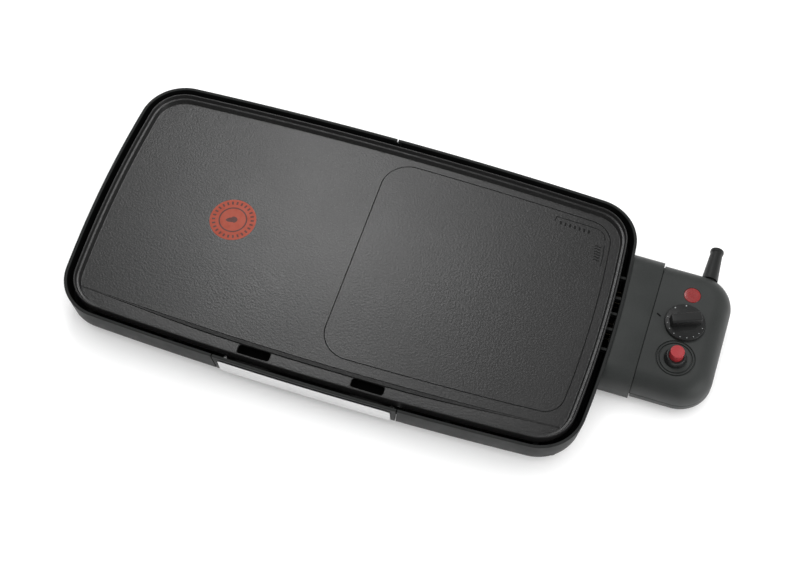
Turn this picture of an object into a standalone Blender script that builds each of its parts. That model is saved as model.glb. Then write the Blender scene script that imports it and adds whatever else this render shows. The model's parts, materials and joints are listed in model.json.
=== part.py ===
"""Large electric griddle with a slide-out drip tray and a plug-in control box.

Metres, +Z up. Lengths along Z are given as depths below the frame's top edge and turned into
heights by at_depth(). Everything hangs on one empty, which puts the origin under the middle of
the whole object.
"""
import math

import bmesh
import bpy
from mathutils import Matrix, Vector

# Frame outline: a bowed rounded rectangle made of arcs that meet smoothly.
HALF_LENGTH = 0.267
HALF_WIDTH = 0.1461
LONG_SIDE_R = 4.181
SHORT_SIDE_R = 1.182
CORNER_R = 0.046
LONG_STEPS = 7
CORNER_STEPS = 8
SHORT_STEPS = 4

# Heights: the frame stands FRAME_TOP above the table.
FRAME_TOP = 0.046
SKIRT_DEPTH = 0.0287
SKIRT_DRAFT = 0.003
LIP_WIDTH = 0.0031
EDGE_BREAK = 0.0005
FLANGE_INNER = 0.020
FLANGE_THICK = 0.0025
CLEARANCE = 0.0003

# Slits that part the frame: one at the back, and one on each side of the drip tray.
BACK_SLIT = 0.0014
TRAY_SLIT = 0.0011
TRAY_HALF_TOP = 0.0923
TRAY_HALF_BOTTOM = 0.0902

# Cooking plate.
PLATE_OFFSET = 0.0096
PLATE_RISE = 0.0018
PLATE_LIP = 0.0026
PLATE_FOOT = 0.0062
COOK_DEPTH = 0.0065
GUTTER_DROP = 0.0023
PLATE_UNDER = 0.0105
GUTTER_INNER = 0.0295
GUTTER_STEP = 0.0036
GUTTER_REACH = 0.238
SLOT_X = 0.0575
SLOT_Y = -0.1246
SLOT_LENGTH = 0.0325
SLOT_WIDTH = 0.0095

# Heating elements, brazed to the underside of the plate.
ELEMENT_R = 0.00325
ELEMENT_DEPTH = PLATE_UNDER + CLEARANCE + ELEMENT_R
PIN_R = 0.002
PIN_DEPTH = 0.0175
PIN_SPREAD = (-0.024, -0.012, 0.012, 0.024)
PIN_TIP = 0.2555
INSULATOR_X = (0.226, 0.238)

# Drip tray.
TRAY_HALF = 0.085
TRAY_FRONT_Y = -0.1345
TRAY_BACK_Y = -0.056
TRAY_TOP = 0.0190
TRAY_FLOOR = 0.0330
TRAY_WALL = 0.0016
BAY_BACK_Y = -0.050
PLAQUE_HALF = 0.0865
PLAQUE_TOP = 0.0048
PLAQUE_BOTTOM = 0.0282
PLAQUE_THICK = 0.0008

# Base pan (heat reflector).
PAN_OFFSET = 0.0145
PAN_THICK = 0.0008
PAN_DISH = 0.0315

# Legs and feet.
LEG_OFFSET = 0.0146
LEG_R = 0.0064
LEG_BOTTOM = 0.0410
FOOT_R = 0.0062
FOOT_STEM_R = 0.003

# Neck: the connector cover between the frame and the control box.
NECK_CENTRE_Y = 0.0250
NECK_HALF = 0.0740
NECK_TOP = 0.0030
NECK_BOTTOM = 0.0310
NECK_ROLL = 0.020
NECK_END_X = 0.2946
SHELL = 0.0024

# Control box.
BOX_START_X = 0.2954
BOX_END_X = 0.3685
BOX_CENTRE_Y = 0.0250
BOX_HALF = 0.0710
BOX_TOP = 0.0040
BOX_PARTING = 0.0250
BOX_BOTTOM = 0.0330
BOX_ROLL = 0.019
BOX_CORNER = 0.033
CONTROL_X = 0.3278
LENS_Y = 0.0642
LENS_R = 0.0081
KNOB_Y = 0.0318
KNOB_R = 0.0200
KNOB_GAP = 0.0004
SKIRT_TOP = 0.0050
GRIP_TOP = 0.0142
GRIP_HALF = (0.0157, 0.0050)
GRIP_TURN = 24
BUTTON_Y = -0.0074
BUTTON_R = 0.0068
COLLAR_R = 0.0113
COLLAR_TOP = 0.0066
BUTTON_TOP = 0.0150
SWITCH_TOP = 0.0195
PROBE_R = 0.0022
PROBE_DEPTH = 0.0133
PROBE_Y = 0.0250
RELIEF_X = 0.3404
RELIEF_DEPTH = 0.0170
RELIEF_END_Y = 0.1290

# Materials: colour (linear), roughness, metallic.
FINISHES = {
    "frame_plastic": ((0.035, 0.037, 0.037), 0.55, 0.0),
    "box_plastic": ((0.040, 0.043, 0.042), 0.50, 0.0),
    "plate_coating": ((0.045, 0.045, 0.045), 0.60, 0.0),
    "sheet_steel": ((0.45, 0.45, 0.44), 0.40, 1.0),
    "plaque_metal": ((0.52, 0.52, 0.52), 0.32, 1.0),
    "element_steel": ((0.20, 0.20, 0.21), 0.45, 1.0),
    "contact_brass": ((0.72, 0.53, 0.24), 0.35, 1.0),
    "ceramic": ((0.72, 0.70, 0.64), 0.55, 0.0),
    "tray_plastic": ((0.030, 0.031, 0.031), 0.45, 0.0),
    "rubber": ((0.018, 0.018, 0.018), 0.85, 0.0),
    "knob_plastic": ((0.012, 0.012, 0.012), 0.40, 0.0),
    "red_plastic": ((0.50, 0.045, 0.045), 0.35, 0.0),
    "red_lens": ((0.42, 0.055, 0.050), 0.20, 0.0),
    "lamp_glass": ((0.85, 0.45, 0.25), 0.10, 0.0),
    "screw_steel": ((0.38, 0.38, 0.38), 0.35, 1.0),
    "spring_steel": ((0.55, 0.55, 0.55), 0.30, 1.0),
    "module_plastic": ((0.60, 0.58, 0.52), 0.55, 0.0),
}


def at_depth(depth):
    return FRAME_TOP - depth


# ---------------------------------------------------------------- outline

def corner_centre():
    """Centre of the corner arc, tangent to the long-side and short-side arcs inside them."""
    long_c = Vector((0.0, HALF_WIDTH - LONG_SIDE_R))
    short_c = Vector((HALF_LENGTH - SHORT_SIDE_R, 0.0))
    from_long = LONG_SIDE_R - CORNER_R
    from_short = SHORT_SIDE_R - CORNER_R
    gap = short_c - long_c
    along = (gap.length_squared + from_long ** 2 - from_short ** 2) / (2 * gap.length)
    across = math.sqrt(from_long ** 2 - along ** 2)
    unit = gap.normalized()
    side = Vector((-unit.y, unit.x))
    first = long_c + unit * along + side * across
    second = long_c + unit * along - side * across
    return first if first.x > 0 and first.y > 0 else second


def arc_stations(centre, radius, start, end, steps):
    return [(centre[0], centre[1], radius, start + (end - start) * i / steps) for i in range(steps + 1)]


def quadrant():
    """Stations from the middle of the short side round to the middle of the long side."""
    corner = corner_centre()
    long_c = (0.0, HALF_WIDTH - LONG_SIDE_R)
    short_c = (HALF_LENGTH - SHORT_SIDE_R, 0.0)
    low = math.atan2(corner.y - short_c[1], corner.x - short_c[0])
    high = math.atan2(corner.y - long_c[1], corner.x - long_c[0])
    stations = arc_stations(short_c, SHORT_SIDE_R, 0.0, low, SHORT_STEPS)
    stations += arc_stations(corner, CORNER_R, low, high, CORNER_STEPS)[1:]
    stations += arc_stations(long_c, LONG_SIDE_R, high, math.pi / 2, LONG_STEPS)[1:]
    return stations


def mirror_x(station):
    return (-station[0], station[1], station[2], math.pi - station[3])


def mirror_y(station):
    return (station[0], -station[1], station[2], -station[3])


def whole_outline():
    first = quadrant()
    stations = list(first)
    stations += [mirror_x(s) for s in reversed(first)][1:]
    stations += [mirror_x(mirror_y(s)) for s in first][1:]
    stations += [mirror_y(s) for s in reversed(first)][1:-1]
    return stations


def place(station, offset):
    """Point of the outline at a station, moved inwards by offset."""
    reach = station[2] - offset
    return (station[0] + reach * math.cos(station[3]), station[1] + reach * math.sin(station[3]))


def long_side_station(x, side):
    centre_y = side * (HALF_WIDTH - LONG_SIDE_R)
    return (0.0, centre_y, LONG_SIDE_R, side * math.acos(x / LONG_SIDE_R))


def half_path(back_x, front_x):
    """Stations of the left half, from the back slit round to the drip tray."""
    path = [long_side_station(back_x, 1)]
    for station in whole_outline():
        x, y = place(station, 0)
        margin = 0.004
        beside_slit = x > back_x - margin
        beside_tray = y < 0 and x > front_x - margin
        if not beside_slit and not beside_tray:
            path.append(station)
    path.append(long_side_station(front_x, -1))
    return path


def frame_edge_x(y, offset):
    """X of the right-hand short side at a given y."""
    return HALF_LENGTH - SHORT_SIDE_R + math.sqrt((SHORT_SIDE_R - offset) ** 2 - y * y)


# ---------------------------------------------------------------- mesh tools

def material(name):
    found = bpy.data.materials.get(name)
    if found:
        return found
    colour, roughness, metallic = FINISHES[name]
    made = bpy.data.materials.new(name)
    made.use_nodes = True
    shader = made.node_tree.nodes["Principled BSDF"]
    shader.inputs["Base Color"].default_value = (*colour, 1.0)
    shader.inputs["Roughness"].default_value = roughness
    shader.inputs["Metallic"].default_value = metallic
    return made


def make_object(name, bm, finish, parent, origin=(0, 0, 0)):
    """Finish a bmesh as a named object whose origin is at the given point of the griddle."""
    bmesh.ops.recalc_face_normals(bm, faces=bm.faces)
    bmesh.ops.translate(bm, verts=bm.verts, vec=-Vector(origin))
    mesh = bpy.data.meshes.new(name)
    bm.to_mesh(mesh)
    bm.free()
    mesh.shade_smooth()
    mesh.set_sharp_from_angle(angle=math.radians(30))
    made = bpy.data.objects.new(name, mesh)
    made.location = origin
    bpy.context.collection.objects.link(made)
    made.parent = parent
    mesh.materials.append(material(finish))
    return made


def loft(bm, rings, joined=False, strip_caps=False):
    """Skin a run of equal rings; its ends are capped, or joined to each other.

    With strip_caps a ring is a thin wall, out along one face and back along the other, and its
    caps are quads across the wall.
    """
    rows = [[bm.verts.new(p) for p in ring] for ring in rings]
    count = len(rows[0])
    pairs = list(zip(rows, rows[1:]))
    if joined:
        pairs.append((rows[-1], rows[0]))
    for low, high in pairs:
        for i in range(count):
            j = (i + 1) % count
            bm.faces.new((low[i], low[j], high[j], high[i]))
    if strip_caps:
        for row in (rows[0], rows[-1]):
            for i in range(count // 2 - 1):
                bm.faces.new((row[i], row[i + 1], row[count - 2 - i], row[count - 1 - i]))
    elif not joined:
        bm.faces.new(list(reversed(rows[0])))
        bm.faces.new(rows[-1])


def sweep(bm, profile, path):
    """Sweep a closed (offset, depth) profile along a run of stations."""
    rings = []
    for station in path:
        rings.append([(*place(station, offset), at_depth(depth)) for offset, depth in profile])
    loft(bm, rings)


def add_box(bm, low, high):
    size = Vector(high) - Vector(low)
    centre = (Vector(high) + Vector(low)) / 2
    matrix = Matrix.Translation(centre) @ Matrix.Diagonal((*size, 1.0))
    bmesh.ops.create_cube(bm, size=1.0, matrix=matrix)


def add_box_between(bm, x, y, depths):
    add_box(bm, (x[0], y[0], at_depth(depths[1])), (x[1], y[1], at_depth(depths[0])))


def turned(bm, profile, centre, axis="Z", sides=24):
    """Solid of revolution: profile is (radius, distance along the axis), radius 0 at both ends."""
    rings = []
    for radius, along in profile[1:-1]:
        rings.append([spun_point(radius, along, 2 * math.pi * i / sides, axis, centre) for i in range(sides)])
    rows = [[bm.verts.new(p) for p in ring] for ring in rings]
    for low, high in zip(rows, rows[1:]):
        for i in range(sides):
            j = (i + 1) % sides
            bm.faces.new((low[i], low[j], high[j], high[i]))
    bm.faces.new(list(reversed(rows[0])))
    bm.faces.new(rows[-1])


def spun_point(radius, along, angle, axis, centre):
    u, v = radius * math.cos(angle), radius * math.sin(angle)
    local = {"Z": (u, v, along), "Y": (v, along, u), "X": (along, u, v)}[axis]
    return tuple(a + b for a, b in zip(local, centre))


def turned_ring(bm, profile, centre, axis="Z", sides=24):
    """Solid of revolution with an open bore: profile is a closed (radius, along) polygon."""
    rings = []
    for i in range(sides):
        angle = 2 * math.pi * i / sides
        rings.append([spun_point(r, a, angle, axis, centre) for r, a in profile])
    loft(bm, rings, joined=True)


def cylinder(bm, radius, start, end, centre, axis="Z", sides=24):
    turned(bm, [(0, start), (radius, start), (radius, end), (0, end)], centre, axis, sides)


def upright(bm, radius, x, y, depths, sides=24):
    cylinder(bm, radius, at_depth(depths[1]), at_depth(depths[0]), (x, y, 0), "Z", sides)


def tube_along(bm, points, radius, sides=8):
    """Round rod that follows a run of points, with flat ends."""
    rings = []
    count = len(points)
    side = None
    for i, point in enumerate(points):
        before = Vector(points[max(i - 1, 0)])
        after = Vector(points[min(i + 1, count - 1)])
        ahead = (after - before).normalized()
        if side is None:
            side = ahead.orthogonal().normalized()
        side = (side - ahead * side.dot(ahead)).normalized()
        over = ahead.cross(side)
        ring = []
        for k in range(sides):
            angle = 2 * math.pi * k / sides
            ring.append(Vector(point) + radius * (math.cos(angle) * side + math.sin(angle) * over))
        rings.append(ring)
    loft(bm, rings)


def boolean(target, bm, operation):
    """Cut, join or intersect a finished object with a tool mesh, then drop the tool."""
    bmesh.ops.recalc_face_normals(bm, faces=bm.faces)
    mesh = bpy.data.meshes.new("tool")
    bm.to_mesh(mesh)
    bm.free()
    tool = bpy.data.objects.new("tool", mesh)
    tool.matrix_world = Matrix.Translation(target.location)
    mesh.transform(Matrix.Translation(-target.location))
    bpy.context.collection.objects.link(tool)
    modifier = target.modifiers.new("edit", "BOOLEAN")
    modifier.operation = operation
    modifier.solver = "EXACT"
    modifier.use_self = operation == "UNION"
    modifier.object = tool
    parent = target.parent
    target.parent = None
    bpy.context.view_layer.update()
    graph = bpy.context.evaluated_depsgraph_get()
    result = bpy.data.meshes.new_from_object(target.evaluated_get(graph))
    result.name = target.name
    target.modifiers.remove(modifier)
    target.data = result
    target.parent = parent
    bpy.data.objects.remove(tool)


def cut(target, shape):
    boolean(target, shape, "DIFFERENCE")


def join(target, shape):
    boolean(target, shape, "UNION")


# ---------------------------------------------------------------- base

def frame_profile(inner=FLANGE_INNER):
    """Lip, drafted wall and the inward flange at its foot."""
    floor = SKIRT_DEPTH - FLANGE_THICK
    wall_in = LIP_WIDTH + SKIRT_DRAFT * floor / SKIRT_DEPTH
    return [
        (EDGE_BREAK, 0.0),
        (LIP_WIDTH - EDGE_BREAK, 0.0),
        (LIP_WIDTH, EDGE_BREAK),
        (wall_in, floor),
        (inner, floor),
        (inner, SKIRT_DEPTH),
        (SKIRT_DRAFT + EDGE_BREAK, SKIRT_DEPTH),
        (SKIRT_DRAFT, SKIRT_DEPTH - EDGE_BREAK),
        (0.0, EDGE_BREAK),
    ]


def tray_prism(gap):
    """Tapered block that holds the drip tray's front panel."""
    bm = bmesh.new()
    top = TRAY_HALF_TOP + gap
    low = TRAY_HALF_BOTTOM + gap
    slope = (top - low) / SKIRT_DEPTH
    spare = 0.005
    rings = []
    for y in (-HALF_WIDTH - spare, -HALF_WIDTH + 0.03):
        rings.append([
            (-top - slope * spare, y, at_depth(-spare)),
            (top + slope * spare, y, at_depth(-spare)),
            (low - slope * spare, y, at_depth(SKIRT_DEPTH + spare)),
            (-low + slope * spare, y, at_depth(SKIRT_DEPTH + spare)),
        ])
    loft(bm, rings)
    return bm


def corner_spots():
    """The four leg positions, each on the frame's corner."""
    middle = LEG_OFFSET
    stations = quadrant()
    station = stations[SHORT_STEPS + CORNER_STEPS // 2]
    x, y = place(station, middle)
    return {"front_left": (-x, -y), "front_right": (x, -y), "back_left": (-x, y), "back_right": (x, y)}


def support_stations(side):
    """Where the frame's inner posts carry the cooking plate."""
    stations = quadrant()
    mid_corner = stations[SHORT_STEPS + CORNER_STEPS - 1]
    spots = [mid_corner, mirror_y(mid_corner)]
    spots.append(long_side_station(0.110, 1))
    spots.append(long_side_station(0.140, -1))
    return [s if side > 0 else mirror_x(s) for s in spots]


def add_posts(frame, side):
    """Posts that stand on the flange under the rim of the plate."""
    half = 0.0025
    floor = SKIRT_DEPTH - FLANGE_THICK / 2
    for station in support_stations(side):
        bm = bmesh.new()
        inner = 0.0135
        reach = station[2] - inner
        turn = half / reach
        outline = []
        for offset, angle in ((LIP_WIDTH, -turn), (LIP_WIDTH, turn), (inner, turn), (inner, -turn)):
            outline.append((station[0], station[1], station[2], station[3] + angle, offset))
        rings = []
        for depth in (PLATE_UNDER + CLEARANCE, floor):
            rings.append([(*place(s[:4], s[4]), at_depth(depth)) for s in outline])
        loft(bm, rings)
        join(frame, bm)


def add_legs(frame, side):
    for name, (x, y) in corner_spots().items():
        if x * side < 0:
            continue
        bm = bmesh.new()
        top = at_depth(SKIRT_DEPTH - FLANGE_THICK / 2)
        bottom = at_depth(LEG_BOTTOM)
        taper = 0.0008
        turned(bm, [(0, bottom), (LEG_R - taper, bottom), (LEG_R, top), (0, top)], (x, y, 0), sides=20)
        join(frame, bm)
        hole = bmesh.new()
        upright(hole, FOOT_STEM_R + CLEARANCE, x, y, (LEG_BOTTOM - 0.0063, LEG_BOTTOM + 0.001), sides=12)
        cut(frame, hole)


def add_tray_rail(frame, side):
    """Ledge on which the drip tray's side flange slides, with its stop wall at the back."""
    bm = bmesh.new()
    ledge = (0.0865 * side, 0.0960 * side)
    wall = (0.0935 * side, 0.0960 * side)
    add_box_between(bm, sorted(ledge), (-0.1375, TRAY_BACK_Y), (TRAY_TOP + 0.0020, TRAY_TOP + 0.0036))
    join(frame, bm)
    bm = bmesh.new()
    add_box_between(bm, sorted(wall), (-0.1375, TRAY_BACK_Y), (TRAY_TOP - 0.0012, SKIRT_DEPTH - 0.0004))
    join(frame, bm)


def rib_rows():
    """Y positions of the ribs in the gap beside the plate at the neck."""
    return (0.0629, 0.0396, 0.0218, 0.0044, -0.0181)


def add_gap_ribs(frame):
    for y in rib_rows():
        half = 0.00125
        start = HALF_LENGTH - PLATE_OFFSET + CLEARANCE - y * y / (2 * SHORT_SIDE_R)
        end = HALF_LENGTH - LIP_WIDTH / 2 - y * y / (2 * SHORT_SIDE_R)
        bm = bmesh.new()
        add_box_between(bm, (start, end), (y - half, y + half), (0.0045, 0.0098))
        join(frame, bm)


def add_window(frame):
    """Opening in the right-hand wall through which the connector reaches the plate's pins."""
    bm = bmesh.new()
    half = 0.0335
    x = (HALF_LENGTH - 0.012, HALF_LENGTH + 0.003)
    add_box_between(bm, x, (PROBE_Y - half, PROBE_Y + half), (0.0108, 0.0258))
    cut(frame, bm)


def pan_screw_stations():
    spots = [long_side_station(0.070, 1), long_side_station(0.170, -1)]
    spots.append((HALF_LENGTH - SHORT_SIDE_R, 0.0, SHORT_SIDE_R, -0.065))
    return spots + [mirror_x(s) for s in spots]


def pan_screw_spots():
    return [place(s, 0.0175) for s in pan_screw_stations()]


def cut_screw_holes(target, spots, depths):
    bm = bmesh.new()
    for x, y in spots:
        upright(bm, 0.0019, x, y, depths, sides=10)
    cut(target, bm)


def frame_half(name, side, root):
    path = half_path(-BACK_SLIT / 2, -TRAY_HALF_BOTTOM + 0.002)
    if side > 0:
        path = [mirror_x(s) for s in reversed(path)]
    bm = bmesh.new()
    sweep(bm, frame_profile(), path)
    frame = make_object(name, bm, "frame_plastic", root)
    cut(frame, tray_prism(TRAY_SLIT))
    add_tray_rail(frame, side)
    add_posts(frame, side)
    add_legs(frame, side)
    if side > 0:
        add_gap_ribs(frame)
        add_window(frame)
    spots = [p for p in pan_screw_spots() if p[0] * side > 0]
    cut_screw_holes(frame, spots, (SKIRT_DEPTH - 0.004, SKIRT_DEPTH + 0.001))
    return frame


def base_pan(root):
    """Pressed steel dish that closes the base and throws the heat back up."""
    rim = SKIRT_DEPTH - FLANGE_THICK - CLEARANCE
    upper = [(PAN_OFFSET, rim - PAN_THICK), (0.0215, rim - PAN_THICK), (0.0240, PAN_DISH - PAN_THICK)]
    lower = [(PAN_OFFSET, rim), (0.0209, rim), (0.0234, PAN_DISH)]
    stations = whole_outline()
    rings = []
    for offset, depth in list(reversed(upper)) + lower:
        rings.append([(*place(s, offset), at_depth(depth)) for s in stations])
    bm = bmesh.new()
    loft(bm, rings)
    pan = make_object("base_pan", bm, "sheet_steel", root)
    bay = bmesh.new()
    half = 0.0967
    add_box_between(bay, (-half, half), (-0.16, BAY_BACK_Y), (0.0, 0.05))
    cut(pan, bay)
    wall = bmesh.new()
    reach = half - 0.0005
    add_box_between(wall, (-reach, reach), (BAY_BACK_Y - 0.0001, BAY_BACK_Y + PAN_THICK),
                    (rim - PAN_THICK, PAN_DISH - PAN_THICK / 2))
    join(pan, wall)
    cut_screw_holes(pan, pan_screw_spots(), (rim - 0.003, rim + 0.003))
    return pan


def screw(bm, x, y, head_depth, tip_depth, head_r=0.0036, shank_r=0.0016):
    """Pan-head screw, driven upwards from below."""
    head = at_depth(head_depth)
    tip = at_depth(tip_depth)
    low = head - 0.0022
    profile = [(0, low), (head_r - 0.0008, low), (head_r, low + 0.0008), (head_r, head), (shank_r, head),
               (shank_r, tip - 0.0008), (shank_r * 0.4, tip), (0, tip)]
    turned(bm, profile, (x, y, 0), sides=12)


def screws(name, spots, head_depth, tip_depth, parent):
    for i, (x, y) in enumerate(spots, 1):
        bm = bmesh.new()
        screw(bm, x, y, head_depth, tip_depth)
        make_object(f"{name}_{i}", bm, "screw_steel", parent)


def rubber_feet(root):
    for name, (x, y) in corner_spots().items():
        top = at_depth(LEG_BOTTOM + CLEARANCE)
        profile = [(0, 0), (FOOT_R - 0.0008, 0), (FOOT_R, 0.0008), (FOOT_R, top - 0.0006),
                   (FOOT_R - 0.0006, top), (FOOT_STEM_R, top), (FOOT_STEM_R, top + 0.0055), (0, top + 0.0055)]
        bm = bmesh.new()
        turned(bm, profile, (x, y, 0), sides=20)
        make_object("foot_" + name, bm, "rubber", root)


# ---------------------------------------------------------------- neck

def rolled_section(half, top, bottom, roll, steps=7, across=8):
    """Outline of a cover as (y from its middle, depth), from one foot over the top to the other."""
    points = [(-half, bottom)]
    for i in range(steps + 1):
        angle = math.pi / 2 * i / steps
        points.append((-half + roll - roll * math.cos(angle), top + roll - roll * math.sin(angle)))
    flat = half - roll
    middle = [(-flat + 2 * flat * i / across, top) for i in range(1, across)]
    return points + middle + [(-y, d) for y, d in reversed(points)]


def neck_ring(section, x_of):
    return [(x_of(NECK_CENTRE_Y + y, d), NECK_CENTRE_Y + y, at_depth(d)) for y, d in section]


def neck_start_x(y, depth):
    draft = SKIRT_DRAFT * min(max(depth / SKIRT_DEPTH, 0.0), 1.0)
    return frame_edge_x(y, draft) + CLEARANCE


def connector_cover(root):
    """Rolled cover over the plug-in connector, open underneath and at both ends."""
    outer = rolled_section(NECK_HALF, NECK_TOP, NECK_BOTTOM, NECK_ROLL)
    inner = rolled_section(NECK_HALF - SHELL, NECK_TOP + SHELL, NECK_BOTTOM, NECK_ROLL - SHELL)
    section = outer + list(reversed(inner))
    bm = bmesh.new()
    loft(bm, [neck_ring(section, neck_start_x), neck_ring(section, lambda y, d: NECK_END_X)], strip_caps=True)
    return make_object("connector_cover", bm, "box_plastic", root)


def neck_screw_spots():
    return [(0.281, NECK_CENTRE_Y + s * 0.060) for s in (-1, 1)]


def neck_underplate(root):
    """Flat plate that closes the neck from below, with two screw bosses."""
    half = NECK_HALF - SHELL - CLEARANCE
    corners = [-half + 2 * half * i / 8 for i in range(9)]
    rings = []
    for depth in (NECK_BOTTOM, NECK_BOTTOM - 0.0022):
        ring = [(neck_start_x(NECK_CENTRE_Y + y, SKIRT_DEPTH), NECK_CENTRE_Y + y, at_depth(depth)) for y in corners]
        ring += [(NECK_END_X, NECK_CENTRE_Y + half, at_depth(depth)), (NECK_END_X, NECK_CENTRE_Y - half, at_depth(depth))]
        rings.append(ring)
    bm = bmesh.new()
    loft(bm, rings)
    plate = make_object("neck_underplate", bm, "box_plastic", root)
    for x, y in neck_screw_spots():
        bm = bmesh.new()
        upright(bm, 0.0045, x, y, (0.0200, NECK_BOTTOM - 0.001), sides=16)
        join(plate, bm)
    cut_screw_holes(plate, neck_screw_spots(), (0.0225, NECK_BOTTOM + 0.001))
    return plate


# ---------------------------------------------------------------- plate

def gutter_share(station):
    """1 where the front gutter is deepest, 0 where it runs out at its ends and elsewhere."""
    x, y = place(station, GUTTER_INNER)
    if y > 0 or abs(x) > GUTTER_REACH or station[2] != LONG_SIDE_R:
        return 0.0
    share = min((GUTTER_REACH - abs(x)) / 0.15, 1.0)
    return share * share * (3 - 2 * share)


def plate_rings():
    """Rings of the plate from its underside over the rim, down the gutter to the cooking surface."""
    edge = PLATE_OFFSET
    rows = [
        (edge + 0.0008, PLATE_UNDER),
        (edge, PLATE_UNDER - 0.0008),
        (edge, -PLATE_RISE + 0.0006),
        (edge + 0.0006, -PLATE_RISE),
        (edge + PLATE_LIP - 0.0006, -PLATE_RISE),
        (edge + PLATE_LIP, -PLATE_RISE + 0.0006),
        (edge + PLATE_FOOT - 0.0016, COOK_DEPTH - 0.0012),
        (edge + PLATE_FOOT, COOK_DEPTH),
    ]
    stations = whole_outline()
    rings = []
    for i, (offset, depth) in enumerate(rows):
        in_gutter = i >= len(rows) - 2
        ring = []
        for s in stations:
            drop = GUTTER_DROP * gutter_share(s) if in_gutter else 0.0
            ring.append((*place(s, offset), at_depth(depth + drop)))
        rings.append(ring)
    ring = []
    for s in stations:
        share = gutter_share(s)
        ring.append((*place(s, GUTTER_INNER - GUTTER_STEP * share - 0.0002), at_depth(COOK_DEPTH + GUTTER_DROP * share)))
    rings.append(ring)
    rings.append([(*place(s, GUTTER_INNER), at_depth(COOK_DEPTH)) for s in stations])
    return rings


def stadium(bm, x, y, length, width, depths, steps=6):
    outline = []
    for side in (1, -1):
        for i in range(steps + 1):
            angle = -math.pi / 2 + math.pi * i / steps
            px = (length - width) / 2 + width / 2 * math.cos(angle)
            outline.append((x + side * px, y + side * width / 2 * math.sin(angle)))
    rings = [[(*p, at_depth(d)) for p in outline] for d in depths]
    loft(bm, rings)


def cooking_plate(parent):
    """Cast plate with a raised rim, a front gutter with two drain slots, and a sensor groove."""
    bm = bmesh.new()
    loft(bm, plate_rings())
    plate = make_object("cooking_plate", bm, "plate_coating", parent)
    slots = bmesh.new()
    for side in (-1, 1):
        stadium(slots, side * SLOT_X, SLOT_Y, SLOT_LENGTH, SLOT_WIDTH, (0.02, 0.0))
    cut(plate, slots)
    for side in (-1, 1):
        ridge = bmesh.new()
        near = PROBE_R + 0.0005
        ys = sorted((PROBE_Y + side * near, PROBE_Y + side * (near + 0.0025)))
        add_box_between(ridge, (0.2400, 0.2560), ys, (PLATE_UNDER - 0.001, PLATE_UNDER + 0.0048))
        join(plate, ridge)
    return plate


def bend_points(centre, radius, start, end, steps):
    points = []
    for i in range(steps + 1):
        angle = start + (end - start) * i / steps
        points.append((centre[0] + radius * math.cos(angle), centre[1] + radius * math.sin(angle)))
    return points


def element_loop(lead, left_x, near_y, far_y, bend, tail_y):
    """Plan route of a U-shaped element: in from one terminal, round, and back to the other."""
    quarter = math.pi / 2
    end_x = INSULATOR_X[0] - CLEARANCE
    turn_x = end_x - lead
    run = [(end_x, tail_y[0]), (turn_x, tail_y[0])]
    run += bend_points((turn_x - bend, tail_y[0] - bend), bend, quarter, quarter * 2, 4)
    run += bend_points((turn_x - 3 * bend, near_y + bend), bend, 0, -quarter, 4)
    run += bend_points((left_x + bend, near_y + bend), bend, -quarter, -2 * quarter, 4)
    run += bend_points((left_x + bend, far_y - bend), bend, 2 * quarter, quarter, 4)
    run += bend_points((turn_x - 3 * bend, far_y - bend), bend, quarter, 0, 4)
    run += bend_points((turn_x - bend, tail_y[1] + bend), bend, -2 * quarter, -quarter, 4)
    run += [(turn_x, tail_y[1]), (end_x, tail_y[1])]
    return run


def element(name, parent, route, finish="element_steel"):
    points = [(x, y, at_depth(ELEMENT_DEPTH)) for x, y in route]
    bm = bmesh.new()
    tube_along(bm, points, ELEMENT_R)
    return make_object(name, bm, finish, parent)


def heating_elements(parent):
    spread = [PROBE_Y + s for s in PIN_SPREAD]
    main = element_loop(0.012, -0.222, -0.098, 0.102, 0.011, (spread[0], spread[3]))
    element("main_heating_element", parent, main)
    boost = element_loop(0.045, 0.030, -0.058, 0.078, 0.0055, (spread[1], spread[2]))
    element("booster_heating_element", parent, boost)


def element_clips(parent):
    """Pressed steel saddles that hold the elements to the plate."""
    low = PLATE_UNDER + CLEARANCE
    under = low + 2 * ELEMENT_R + CLEARANCE
    spots = ((-0.120, -0.098), (-0.120, 0.102), (0.110, -0.058), (0.110, 0.078))
    for i, (x, y) in enumerate(spots, 1):
        bm = bmesh.new()
        reach = ELEMENT_R + CLEARANCE
        section = [(-reach - 0.005, low), (-reach, low), (-reach, under), (reach, under), (reach, low),
                   (reach + 0.005, low), (reach + 0.005, low + 0.0008), (reach + 0.0008, low + 0.0008),
                   (reach + 0.0008, under + 0.0008), (-reach - 0.0008, under + 0.0008),
                   (-reach - 0.0008, low + 0.0008), (-reach - 0.005, low + 0.0008)]
        rings = [[(x + e, y + s, at_depth(d)) for s, d in section] for e in (-0.004, 0.004)]
        loft(bm, rings)
        make_object(f"element_clip_{i}", bm, "sheet_steel", parent)


def terminal_insulator(parent):
    """Ceramic block under the plate that holds the connector pins."""
    bm = bmesh.new()
    add_box_between(bm, INSULATOR_X, (PROBE_Y - 0.030, PROBE_Y + 0.030), (PLATE_UNDER + CLEARANCE, 0.0212))
    block = make_object("terminal_insulator", bm, "ceramic", parent)
    holes = bmesh.new()
    for spread in PIN_SPREAD:
        centre = (0, PROBE_Y + spread, at_depth(PIN_DEPTH))
        cylinder(holes, PIN_R + CLEARANCE, INSULATOR_X[1] - 0.006, INSULATOR_X[1] + 0.001, centre, "X", 12)
    cut(block, holes)
    return block


def terminal_pins(parent):
    start = INSULATOR_X[1] - 0.0057
    profile = [(0, start), (PIN_R, start), (PIN_R, PIN_TIP - 0.0012), (PIN_R * 0.5, PIN_TIP), (0, PIN_TIP)]
    for i, spread in enumerate(PIN_SPREAD, 1):
        bm = bmesh.new()
        turned(bm, profile, (0, PROBE_Y + spread, at_depth(PIN_DEPTH)), "X", 12)
        make_object(f"terminal_pin_{i}", bm, "contact_brass", parent)


# ---------------------------------------------------------------- drip tray

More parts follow.
